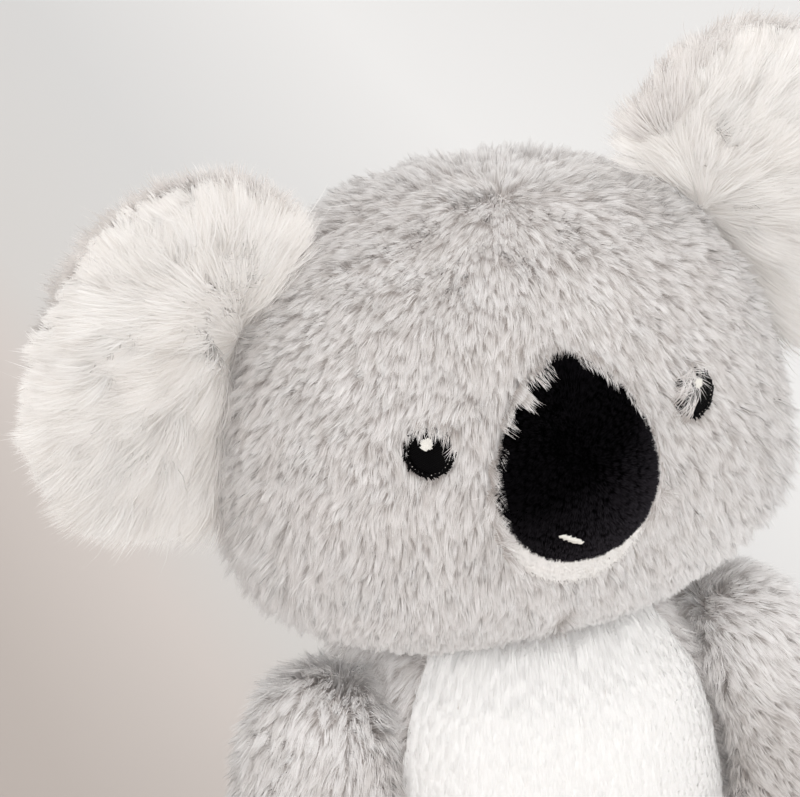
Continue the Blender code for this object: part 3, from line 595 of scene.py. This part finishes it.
# Muzzle: an oval of off-white velour, sewn on below the nose, of which a crescent shows.
MUZZLE_PILE = {"length": 0.0007, "depth": 0.0004, "per_mm2": 14.0, "width": 0.00014,
               "lifts": (1.0, 0.4), "tuft": 0.0016, "pull": 0.2, "steps": 2, "stray": 0.3,
               "wild": 1.0}
velour_fibre = fibre("off-white velour fibre", "f2f0ee", "f3f1ef", "f4f2f0", "ffffff")
velour_backing = knitted_backing("off-white knitted velour backing", "f4f2f0", 0.95, 0.3)
muzzle_cloth = drawn_in("muzzle_cloth", "head", "muzzle_panel", ["head_stuffing"], 0.0006,
                        velour_backing)
muzzle = pile_on("muzzle_panel", ["head_stuffing"], "head", hanging_nap, 301, MUZZLE_PILE,
                 velour_fibre, ["nose_cover"])
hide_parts("muzzle_panel")


# Nose: a stuffed oval of black velour whose short pile stands on end, so that its edge
# is a fringe of fibres; it is painted grey low down and towards +x, as a painted sheen where the
# light grazes it.
NOSE_PILE = {"length": 0.0017, "depth": 0.0008, "per_mm2": 16.0, "width": 0.00016,
             "lifts": (1.3, 0.8), "tuft": 0.0020, "pull": 0.3, "steps": 2, "stray": 0.6,
             "wild": 1.0}


def nose_nap(spots):
    """Nap that runs out from the middle of the nose."""
    return unit(spots - spots.mean(axis=0)) + np.array((0.0, 0.0, -0.2))


def nose_growth(spots):
    """The pile is sheared shorter below, and stands up to a point at the nose's top."""
    low, high = spots[:, 2].min(), spots[:, 2].max()
    rise = np.interp(spots[:, 2], (low, 0.6 * low + 0.4 * high, high), (0.5, 1.0, 0.5))
    point = np.exp(-((spots[:, 0] / 0.0038) ** 2))
    return rise + 1.6 * point * np.interp(spots[:, 2], (0.5 * low + 0.5 * high, high), (0, 1))


def nose_painted_sheen_tint(spots, rng):
    """The pile is painted paler low down and towards +x, as a painted sheen."""
    low, high = spots.min(axis=0), spots.max(axis=0)
    across, up = ((spots - low) / (high - low)).T[[0, 2]]
    painted_sheen = np.interp(0.75 * up - 0.35 * across, (-0.15, 0.25), (0.85, 0.12))
    return (painted_sheen * rng.uniform(0.5, 1.15, len(spots))).clip(0.02, 0.98)


black_backing = knitted_backing("black knitted polyester backing", "020202", 0.7, 0.0, 0.0)
# Its grey tip colour is a painted sheen, strongest where the nose's tint is paler.
black_fibre = fibre("black velour fibre", "020202", "3a373c", "222222", "ffffff", 0.8, 0.0, 0.0)
nose_places, nose_triangles = skin_of("nose_cover")
nose_places = nose_places - smooth_normals(nose_places, nose_triangles) * 0.0004
nose_cloth = mesh_piece("nose_cloth", "head", nose_places, nose_triangles, black_backing)
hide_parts("nose_stuffing")
nose = pile_on("nose_cover", ["nose_stuffing"], "head", nose_nap, 302, NOSE_PILE,
               black_fibre, (), nose_growth, nose_painted_sheen_tint)
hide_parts("nose_cover")


# Eyes: black rayon thread in satin stitch, a field of slanting threads inside a ring of
# short ones, each with a highlight of white thread, as on the nose. Pile from beside
# the eyes, nose and muzzle is brushed over their edges.
THREAD = 0.00038
EYE_RADIUS = 0.0062
EYE_SINK = 0.0012
EYE_DOME = 0.0011
RING_SHARE = 0.80
EYE_FRINGE = {"left": (210, 0.0062, -1.2, (0.9, -0.5)), "right": (150, 0.0034, 0.3, (0.3, 1.0))}
EYE_GLINT = {"left": 0.00115, "right": 0.00145}
FRINGE_BAND = 0.0020
FRINGE_CLUMP = 0.16
NOSE_FRINGE = {"left": ((0.35, 1.45, 330, 0.0022),),
               "right": ((0.60, 1.45, 260, 0.0020), (0.98, 1.12, 200, 0.0036))}
MUZZLE_FRINGE = {"left": (-0.80, 0.20, 500, 0.0040), "right": (-0.95, 0.45, 700, 0.0046)}
NOSE_FRINGE_DEPTH = 0.0008
NEEDLE_SHARE = 0.82
NEEDLE_KEPT = 0.8
NEEDLE_FIBRE = 0.00022
NOSE_GLINT_HALF = 0.0011


def thread_material(name, colour, shine):
    """Rayon thread: smooth and bright along its length, with a fine twist."""
    made = bpy.data.materials.new(name)
    made.use_nodes = True
    tree = made.node_tree
    shader = tree.nodes["Principled BSDF"]
    shader.inputs["Roughness"].default_value = shine
    shader.inputs["Specular IOR Level"].default_value = 0.04
    place = add(tree, "ShaderNodeTexCoord").outputs["Object"]
    twist = add(tree, "ShaderNodeTexNoise", {"Scale": 4000.0, "Detail": 1.0}, Vector=place)
    tone = add(tree, "ShaderNodeMix", {"data_type": "RGBA"})
    tone.inputs[6].default_value = (*[c * 0.6 for c in linear(colour)], 1.0)
    tone.inputs[7].default_value = (*linear(colour), 1.0)
    tree.links.new(twist.outputs[0], tone.inputs[0])
    tree.links.new(tone.outputs[2], shader.inputs["Base Color"])
    return made


def stitched(name, body, frame_of, runs, width, material):
    """Threads laid along runs of flat points (across, up, rise), each a half-round."""
    middle, across, up, out = frame_of
    places, faces = [], []
    for run in runs:
        run = np.asarray(run)
        ways = unit(np.gradient(run[:, :2], axis=0))
        start = len(places)
        for k, ((x, y, z), (dx, dy)) in enumerate(zip(run, ways)):
            taper = 0.55 if k in (0, len(run) - 1) else 1.0
            for angle in np.linspace(0, math.pi, 5):
                off = math.cos(angle) * width / 2 * taper
                high = z + math.sin(angle) * width / 2 * taper
                places.append(middle + (x - dy * off) * across + (y + dx * off) * up + high * out)
        for k in range(len(run) - 1):
            for j in range(4):
                a = start + k * 5 + j
                faces.append((a, a + 1, a + 6, a + 5))
        last = start + (len(run) - 1) * 5
        faces.append(tuple(range(start, start + 5))[::-1])
        faces.append(tuple(range(last, last + 5)))
    return mesh_piece(name, body, places, faces, material)


def place_of(node, turn=0.0):
    """Middle of a small node's outside, and its directions across, up and out."""
    places, triangles, normals = outside_of(node, ["head_stuffing"])
    out = unit(normals.mean(axis=0))
    low, high = places.min(axis=0), places.max(axis=0)
    middle = (low + high) / 2
    middle = middle + out * ((places - middle) @ out).max()
    across = unit(np.cross((0.0, 0.0, 1.0), out))
    up = np.cross(out, across)
    turned = math.cos(turn) * across + math.sin(turn) * up
    return middle, turned, np.cross(out, turned), out


def eye_rise(x, y):
    """Height of the eye's dome above its rim."""
    share = min((x * x + y * y) / EYE_RADIUS**2, 1.0)
    return EYE_DOME * (1 - share) - EYE_DOME - EYE_SINK


def field_runs(half_width, half_height, rise, pitch, rng):
    """Parallel runs across an oval, a pitch apart, with slightly uneven ends."""
    runs = []
    for y in np.arange(-half_height + pitch / 2, half_height, pitch):
        half = half_width * math.sqrt(max(1 - (y / half_height) ** 2, 0.0))
        left, right_end = -half + rng.uniform(0, pitch / 2), half - rng.uniform(0, pitch / 2)
        if right_end - left > pitch:
            xs = np.linspace(left, right_end, 7)
            lift = rng.uniform(0, pitch / 6)
            runs.append([(x, y, rise(x, y) + lift) for x in xs])
    return runs


def hexagon_runs(radius, pitch, rise, rng):
    """Parallel runs across a six-sided spot, with ends a thread longer or shorter."""
    runs = []
    for y in np.arange(-radius + pitch / 2, radius, pitch):
        half = radius * (1.12 - 0.55 * abs(y) / radius) * rng.uniform(0.82, 1.12)
        shift = rng.uniform(-pitch, pitch) / 3
        xs = np.linspace(-half + shift, half + shift, 5)
        runs.append([(x, y, rise - 0.06 * abs(x)) for x in xs])
    return runs


black_thread = thread_material("black rayon embroidery thread", "060506", 0.35)
white_thread = thread_material("white rayon embroidery thread", "f4f1ea", 0.5)


def radial(angles, across, up):
    """Directions at some angles in a plane."""
    return np.cos(angles)[:, None] * across + np.sin(angles)[:, None] * up


def rim_of(tree, middle, inward, up, out, angles, deep=0.016):
    """Outermost places of a face piece around its middle, found from outside."""
    tried = np.linspace(angles.min(), angles.max(), 60)
    found = []
    for angle in tried:
        flat = math.cos(angle) * inward + math.sin(angle) * up
        best = (0.0, 0.0)
        for low in np.linspace(0.0005, deep, 24):
            start = middle + flat * 0.06 - out * low
            hit = tree.ray_cast(Vector(start), Vector(-flat), 0.06)[0]
            if hit is not None:
                best = max(best, ((np.array(hit) - middle) @ flat, -low))
        found.append(best)
    far, high = np.array(found).T
    far, high = np.interp(angles, tried, far), np.interp(angles, tried, high)
    return middle + radial(angles, inward, up) * far[:, None] + out * high[:, None]


def fringe_over(name, angles, rim, directions, length, lean, tree, rng):
    """Clumps of the head's pile rooted beside a face piece, lying over its edge. Points
    that would lie inside the piece are lifted onto it."""
    across, up, out = directions
    count = len(angles)
    flat = radial(angles, across, up)
    clump = np.floor((angles - angles.min()) / FRINGE_CLUMP).astype(int)
    per_clump = rng.normal(size=(clump.max() + 1, 4))[clump]
    way = -lean[0] * flat - lean[1] * up
    way = way + 0.25 * per_clump[:, :3] + 0.2 * rng.normal(size=(count, 3))
    way = unit(way - (way @ out)[:, None] * out)
    span = length * (1 + 0.3 * per_clump[:, 3] + 0.2 * rng.normal(size=count)).clip(0.25, 1.5)
    foot = rim + flat * (FRINGE_BAND * rng.random((count, 1)))
    lines = [foot]
    for share, rise in ((0.35, 0.0014), (0.7, 0.0020), (1.0, 0.0022)):
        lines.append(foot + way * (span * share)[:, None] + out * rise * rng.uniform(0.8, 1.2))
    lines = np.stack(lines, axis=1)
    if tree:
        ray = Vector(out)
        for k, point in itertools.product(range(count), (1, 2, 3)):
            hit = tree.ray_cast(Vector(lines[k, point]) + ray * 0.012, -ray, 0.012)[0]
            if hit is not None:
                lines[k, point] = np.array(hit) + out * rng.uniform(0.0010, 0.0018)
    normals = np.broadcast_to(out, foot.shape)
    fringe = strands(name, "head", lines, normals, HEAD_PILE["width"], grey_fibre, rng)


for side in ("left", "right"):
    rng = np.random.default_rng(400)
    place = place_of("eye_" + side, math.radians(28))
    inside = EYE_RADIUS * RING_SHARE
    runs = field_runs(EYE_RADIUS * 0.98, EYE_RADIUS * 0.98,
                      lambda x, y: eye_rise(x, y) - THREAD * 0.5, THREAD, rng)
    runs += field_runs(inside * 1.04, inside * 1.04, eye_rise, THREAD * 1.15, rng)
    count = int(2 * math.pi * EYE_RADIUS / (THREAD * 1.35))
    for angle in np.linspace(0, 2 * math.pi, count, endpoint=False):
        first, last = RING_SHARE * rng.uniform(0.97, 1.03), rng.uniform(0.95, 1.09)
        shares = np.linspace(first, last, 4)
        ring = [(math.cos(angle + 0.05 * k) * share * EYE_RADIUS,
                 math.sin(angle + 0.05 * k) * share * EYE_RADIUS)
                for k, share in enumerate(shares)]
        runs.append([(x, y, eye_rise(x, y) + THREAD * 0.6) for x, y in ring])
    eye = stitched("eye_stitches_" + side, "head", place, runs, THREAD * 1.3, black_thread)
    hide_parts("eye_" + side)

    middle, across, up, out = place_of("eye_" + side)
    inward = across if side == "right" else -across
    angles = np.arange(0, 2 * math.pi, 1.0 / (NEEDLE_SHARE * 1000 * EYE_RADIUS))
    angles = angles[rng.random(len(angles)) < NEEDLE_KEPT]
    reach = EYE_RADIUS * NEEDLE_SHARE * rng.uniform(0.97, 1.03, len(angles))
    rise = np.array([eye_rise(r, 0.0) for r in reach])[:, None]
    foot = middle + radial(angles, across, up) * reach[:, None] + out * (rise + THREAD * 1.1)
    lean = 0.5 * out - 0.6 * up + 0.5 * rng.normal(size=(len(angles), 3))
    tips = foot + unit(lean) * rng.uniform(0.00015, 0.00030, (len(angles), 1))
    lines = np.stack((foot, (foot + tips) / 2, tips), axis=1)
    normals = np.broadcast_to(out, foot.shape)
    holes = strands("eye_needle_fibres_" + side, "head", lines, normals, NEEDLE_FIBRE,
                    grey_fibre, rng)

    count, length, lowest, lean = EYE_FRINGE[side]
    angles = rng.uniform(lowest, 1.9, count)
    rim = middle + EYE_RADIUS * radial(angles, inward, up) - out * (EYE_SINK + EYE_DOME)
    fringe_over("eye_fringe_" + side, angles, rim, (inward, up, out), length, lean, None, rng)

    spot = place_of("eye_highlight_" + side, math.radians(-35))
    rng = np.random.default_rng(401)
    runs = hexagon_runs(EYE_GLINT[side], 0.00038, 0.0002 - EYE_SINK, rng)
    glint = stitched("eye_highlight_stitches_" + side, "head", spot, runs, 0.00050, white_thread)
    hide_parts("eye_highlight_" + side)

middle, across, up, out = place_of("nose_cover")
nose_places, nose_triangles = skin_of("nose_cover")
nose_tree = BVHTree.FromPolygons(nose_places.tolist(), nose_triangles.tolist())
muzzle_places, muzzle_triangles = skin_of("muzzle_panel")
muzzle_tree = BVHTree.FromPolygons(muzzle_places.tolist(), muzzle_triangles.tolist())
for side, inward in (("left", across), ("right", -across)):
    rng = np.random.default_rng(403)
    for number, (low, high, count, length) in enumerate(NOSE_FRINGE[side]):
        angles = np.sort(rng.uniform(low, high, count))
        rim = rim_of(nose_tree, middle, inward, up, out, angles) - out * NOSE_FRINGE_DEPTH
        fringe_over(f"nose_fringe_{side}_{number}", angles, rim, (inward, up, out), length,
                    (0.6, 0.7), nose_tree, rng)
    low, high, count, length = MUZZLE_FRINGE[side]
    angles = np.sort(rng.uniform(low, high, count))
    rim = rim_of(muzzle_tree, middle, inward, up, out, angles, 0.024)
    fringe_over("muzzle_fringe_" + side, angles, rim, (inward, up, out), length, (0.6, 0.9),
                muzzle_tree, rng)

spot = place_of("nose_highlight", math.radians(-34))
spot = (spot[0] + 0.0024 * spot[2], *spot[1:])
rng = np.random.default_rng(402)
runs = []
for x in np.arange(-0.0027, 0.0028, 0.00042):
    half = NOSE_GLINT_HALF * math.sqrt(1 - (x / 0.0034) ** 2) * rng.uniform(0.55, 1.15)
    lean = 0.0004
    rise = 0.0003 - 4.0 * x * x
    ends = rise - 0.0002
    runs.append([(x - lean, -half, ends), (x, 0.0, rise), (x + lean, half, ends)])
glint = stitched("nose_highlight_stitches", "head", spot, runs, 0.00055, white_thread)
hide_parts("nose_highlight")


# Ears: a flat pad each, faced with long silky white fibres that spread from where the
# ear is sewn on, and backed with the grey pile.
EAR_SILK = {"length": 0.0170, "shortest": 0.0025, "per_mm2": 8.0, "width": 0.00025,
            "lifts": (0.9, 0.15), "tuft": 0.0036, "pull": 0.4, "steps": 4, "wild": 1.35}
EAR_BACK_PILE = {"length": 0.0095, "shortest": 0.0012, "per_mm2": 5.0, "width": 0.00024,
                 "lifts": (0.8, 0.3), "tuft": 0.0026, "pull": 0.3, "steps": 3, "wild": 0.7}
EAR_ROOT_DEPTH = 0.0006
EAR_BULGE = 0.25
EAR_LOOSE_SHARE = 0.012
EAR_LOOSE_REACH = 1.35
EAR_OVERHANG = {"front": (0.0040, 0.0034, 0.0024), "back": (-0.0010, -0.0010, 0.0050)}
EAR_SPAN = (-0.020, -0.006, 0.018)
EAR_CORNER = {"ear_left": -0.0050, "ear_right": 0.0020}
EAR_RIM = {"ear_left": 0.0085, "ear_right": 0.0022}
EAR_WRAP = 0.0060
EAR_STRIP = 0.0070
EAR_FAN_RISE = 0.0090
# Their darker root colours are painted shade deep in the pile.
ear_fibre = fibre("long white silky fibre", "e2dfdc", "eeecea", "f1efed", "ffffff", 0.6, 0.3)
ear_back_fibre = fibre("grey ear pile fibre", "cfc9c5", "e9e6e4", "ebe9e7", "ffffff")


def ear_side(node, front):
    """Outside of one face of an ear: the triangles that look forwards or backwards."""
    places, triangles = skin_of(node)
    a, b, c = (places[triangles[:, k]] for k in range(3))
    flat = unit(np.cross(b - a, c - a))
    triangles = triangles[flat[:, 1] < 0.15] if front else triangles[flat[:, 1] > -0.15]
    used, triangles = np.unique(triangles, return_inverse=True)
    places, triangles = places[used], triangles.reshape(-1, 3)
    return places, triangles, smooth_normals(places, triangles)


def ear_lines(roots, normals, nap, length, style, seed):
    """Lines of an ear's pile, in one of the two styles."""
    return brushed(roots, normals, nap, length, style["lifts"], style["tuft"], style["pull"],
                   seed, style["steps"], 0.3, style["wild"])


for number, joint in enumerate(frame["joints"]):
    if not joint["child"].startswith("ear"):
        continue
    body = joint["child"]
    hinge = np.array(joint["pos_m"])
    for face, style, material, slot in (
        ("front", EAR_SILK, ear_fibre, "white_long_pile"),
        ("back", EAR_BACK_PILE, ear_back_fibre, "grey_long_pile"),
    ):
        node = body + "_" + face
        front = face == "front"
        places, triangles = skin_of(node)
        places = places - smooth_normals(places, triangles) * 0.0005
        cloth = mesh_piece(node + "_cloth", body, places, triangles,
                           white_backing if front else grey_backing)
        rng = np.random.default_rng(500 + number)
        surface = ear_side(node, front)
        spots, normals = roots_on(surface, style["per_mm2"], rng)
        base = np.array(joint["axis"]) * np.sign(joint["axis"][2])
        out = np.cross(base, (0.0, 1.0, 0.0))
        out = out * np.sign(out[0] * hinge[0])
        level, rise = (spots - hinge) @ out, (spots - hinge) @ base
        fan = np.clip(level / EAR_STRIP, 0.0, 1.0)[:, None]
        nap = out * (level + 0.008)[:, None] + base * (rise - EAR_FAN_RISE)[:, None]
        above = np.tanh((rise - EAR_FAN_RISE) / 0.005)[:, None]
        strip = base * above + out * (0.25 - 0.45 * above)
        middle = np.exp(-((level / 0.018) ** 2 + ((rise - EAR_FAN_RISE) / 0.018) ** 2))[:, None]
        nap = unit(unit(nap) * fan + strip * (1 - fan)) * (1.1 + 0.8 * (1 - fan) + 1.2 * middle)
        rim = seam_distance(spots, surface, lambda place: (place - hinge) @ out > 0.0015)
        corner = np.interp(rise, (0.010, 0.020), (0, 1)) * np.interp(level, (0.010, 0.022), (1, 0))
        overhang = np.interp(rise, EAR_SPAN, EAR_OVERHANG[face])
        overhang = overhang + corner * (EAR_CORNER[body] if front else 0.0020)
        length = np.minimum(style["length"], np.maximum(rim + overhang, style["shortest"]))
        lock = rng.uniform(0.82, 1.08, 100000)[tuft_of(spots, style["tuft"], 3)]
        loose = rng.random(len(spots)) < EAR_LOOSE_SHARE
        length = length * lock * np.where(loose, EAR_LOOSE_REACH, 1.0)
        roots = spots - normals * EAR_ROOT_DEPTH
        lines = ear_lines(roots, normals, nap, length, style, 3)
        if not front:
            share = np.linspace(0, 1, lines.shape[1])[None, :] ** 1.5
            wrap = np.interp(rim, (0.001, 0.007), (1, 0)) * np.interp(rise, (0, 0.018), (0, 1))
            lines[:, :, 1] -= EAR_WRAP * share * wrap[:, None]
        lit = rounded(roots, normals, style["tuft"], 3, EAR_BULGE)
        band = EAR_RIM[body] * np.interp(level, (0.010, 0.034), (1.0, 0.15))
        turned = front & (rim < band * np.interp(rise, (0.004, 0.012), (0.0, 1.0)))
        pile = strands(node + "_pile", body, lines[~turned], lit[~turned], style["width"],
                       material, rng, tint=tuft_tone_and_shade(spots[~turned], rng, style["tuft"]))
        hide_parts(node)
        if front:
            reach = (rim + 0.0055)[turned]
            lines = ear_lines(roots[turned], normals[turned], nap[turned], reach,
                              EAR_BACK_PILE, 4)
            pile = strands(body + "_rim_pile", body, lines, lit[turned],
                           EAR_BACK_PILE["width"], ear_back_fibre, rng)


# Arms: two panels of the grey pile each, sewn at the shoulder and pressed against the
# side, with the nap running down to the paw.
def arm_nap(spots):
    """Nap that runs down the arm, outwards and forwards."""
    return 1.8 * np.array((0.62, -0.45, -0.65)) * np.sign(spots[:, :1]) ** np.array((1, 0, 0))


for number, side in enumerate(("left", "right")):
    body = "arm_" + side
    for face in ("outer", "inner"):
        node = body + "_" + face + "_panel"
        pile = pile_on(node, [body + "_stuffing"], body, arm_nap, 600 + number, BODY_PILE,
                       grey_fibre, (), shoulder_growth, shoulder_tint_with_painted_light)
        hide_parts(node)


# Legs: two panels of the grey pile each, stretched forwards on the floor, with a sole of
# the belly's short white pile.
def leg_nap(spots):
    """Nap that runs forwards along the leg and a little down."""
    return np.broadcast_to(np.array((0.0, -2.0, -0.7)), spots.shape)


def leg_tint_with_painted_light(spots, rng):
    """Tints of the tufts, paler all over the leg: painted light, as little light comes to the top
    of the leg.
    """
    return (tuft_tone_and_shade(spots, rng) + 0.3).clip(0.02, 0.98)


def round_outline(spots, surface):
    """Spots of a sole, moved out from its straight edges onto arcs."""
    places, triangles = surface[:2]
    rim = places[np.unique(open_edges(triangles))][:, (0, 2)]
    middle = rim.mean(axis=0)
    off = rim - middle
    around = np.arctan2(off[:, 1], off[:, 0])
    far = np.linalg.norm(off, axis=1)
    order = np.argsort(around)
    around, far = around[order], far[order]
    flat = spots[:, (0, 2)] - middle
    angle = np.arctan2(flat[:, 1], flat[:, 0])
    after = np.searchsorted(around, angle) % len(around)
    before = after - 1
    whole = (around[after] - around[before]) % (2 * math.pi)
    part = (angle - around[before]) % (2 * math.pi)
    mixed = far[before] * np.sin(part) + far[after] * np.sin(whole - part)
    chord = far[before] * far[after] * np.sin(whole) / mixed
    arc = far[before] + (far[after] - far[before]) * part / whole
    spots = spots.copy()
    spots[:, (0, 2)] = middle + flat * (arc / chord)[:, None]
    return spots


for number, side in enumerate(("left", "right")):
    body = "leg_" + side
    core = [body + "_stuffing"]
    for face in ("top", "under"):
        node = body + "_" + face + "_panel"
        pile = pile_on(node, core, body, leg_nap, 700 + number, BODY_PILE, grey_fibre,
                       tint=leg_tint_with_painted_light)
        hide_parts(node)
    node = body + "_sole"
    cloth = drawn_in(node + "_cloth", body, node, core, 0.0024, white_backing)
    pile = pile_on(node, core, body, hanging_nap, 710 + number, BELLY_PILE, white_fibre,
                   outline=round_outline)
    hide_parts(node)


# Floor and light: a pale matte sheet under an even sky, painted browner in a band to the
# toy's left as a painted shadow and paler towards +x as a painted pool of light. A large
# soft window lights the toy from the back right, a smaller one from its right side and a low one
# from the front.
FLOOR_HALF = 6.0
floor_material = bpy.data.materials.new("pale matte floor with painted shadow and light")
floor_material.use_nodes = True
tree = floor_material.node_tree
shader = tree.nodes["Principled BSDF"]
shader.inputs["Roughness"].default_value = 0.9
place = add(tree, "ShaderNodeTexCoord").outputs["Object"]
cloud = add(tree, "ShaderNodeTexNoise", {"Scale": 1.2, "Detail": 2.0}, Vector=place)
parts = add(tree, "ShaderNodeSeparateXYZ", Vector=place)
drifted = add(tree, "ShaderNodeMath", {"operation": "MULTIPLY_ADD"})
tree.links.new(cloud.outputs[0], drifted.inputs[0])
drifted.inputs[1].default_value = 0.10
tree.links.new(parts.outputs["X"], drifted.inputs[2])
painted_shade_spread = add(tree, "ShaderNodeMapRange", {"From Min": -0.55, "From Max": 0.35},
             Value=drifted.outputs[0])
tone = add(tree, "ShaderNodeValToRGB", Fac=painted_shade_spread.outputs["Result"])
# The dark warm stops are a painted shadow left of the toy, the pale ones towards +x a painted pool
# of light.
for stop, code in ((0.33, "a39992"), (0.444, "9e938c"), (0.556, "b4aba5"), (0.622, "c8c0bb"),
                   (0.656, "c9c6c3"), (0.75, "cccbca"), (0.889, "dfdedd")):
    tone.color_ramp.elements.new(stop).color = (*linear(code), 1.0)
tone.color_ramp.elements[0].color = (*linear("c8c3bf"), 1.0)
tone.color_ramp.elements[-1].color = (*linear("dad9d8"), 1.0)
tree.links.new(tone.outputs["Color"], shader.inputs["Base Color"])
corners = [(-FLOOR_HALF, -FLOOR_HALF, 0.0), (FLOOR_HALF, -FLOOR_HALF, 0.0),
           (FLOOR_HALF, FLOOR_HALF * 2, 0.0), (-FLOOR_HALF, FLOOR_HALF * 2, 0.0)]
sheet = bpy.data.meshes.new("floor")
sheet.from_pydata(corners, [], [(0, 1, 2, 3)])
sheet.materials.append(floor_material)
floor = bpy.data.objects.new("floor", sheet)
bpy.context.scene.collection.objects.link(floor)
floor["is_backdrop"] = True

sky = bpy.data.worlds.new("soft studio")
bpy.context.scene.world = sky
sky.use_nodes = True
sky.node_tree.nodes["Background"].inputs["Color"].default_value = (*linear("f4f3f2"), 1.0)
sky.node_tree.nodes["Background"].inputs["Strength"].default_value = 0.98


def soft_light(name, place, size, power, colour):
    """Square area light that shines on the head and isn't seen itself."""
    data = bpy.data.lights.new(name, "AREA")
    data.size = size
    data.energy = power
    data.color = linear(colour)
    made = bpy.data.objects.new(name, data)
    aim = Vector(HEAD_CENTRE) - Vector(place)
    made.rotation_euler = aim.to_track_quat("-Z", "Y").to_euler()
    made.location = place
    made.visible_camera = False
    bpy.context.scene.collection.objects.link(made)


soft_light("window", (1.9, 1.3, 1.2), 2.2, 18.0, "ffffff")
soft_light("side", (-1.1, -0.3, 0.95), 1.6, 7.0, "ffffff")
soft_light("front", (0.25, -1.45, 0.32), 1.7, 16.5, "ffffff")
bpy.context.scene.cycles.diffuse_bounces = 16
bpy.context.scene.view_settings.view_transform = "Standard"

low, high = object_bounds()
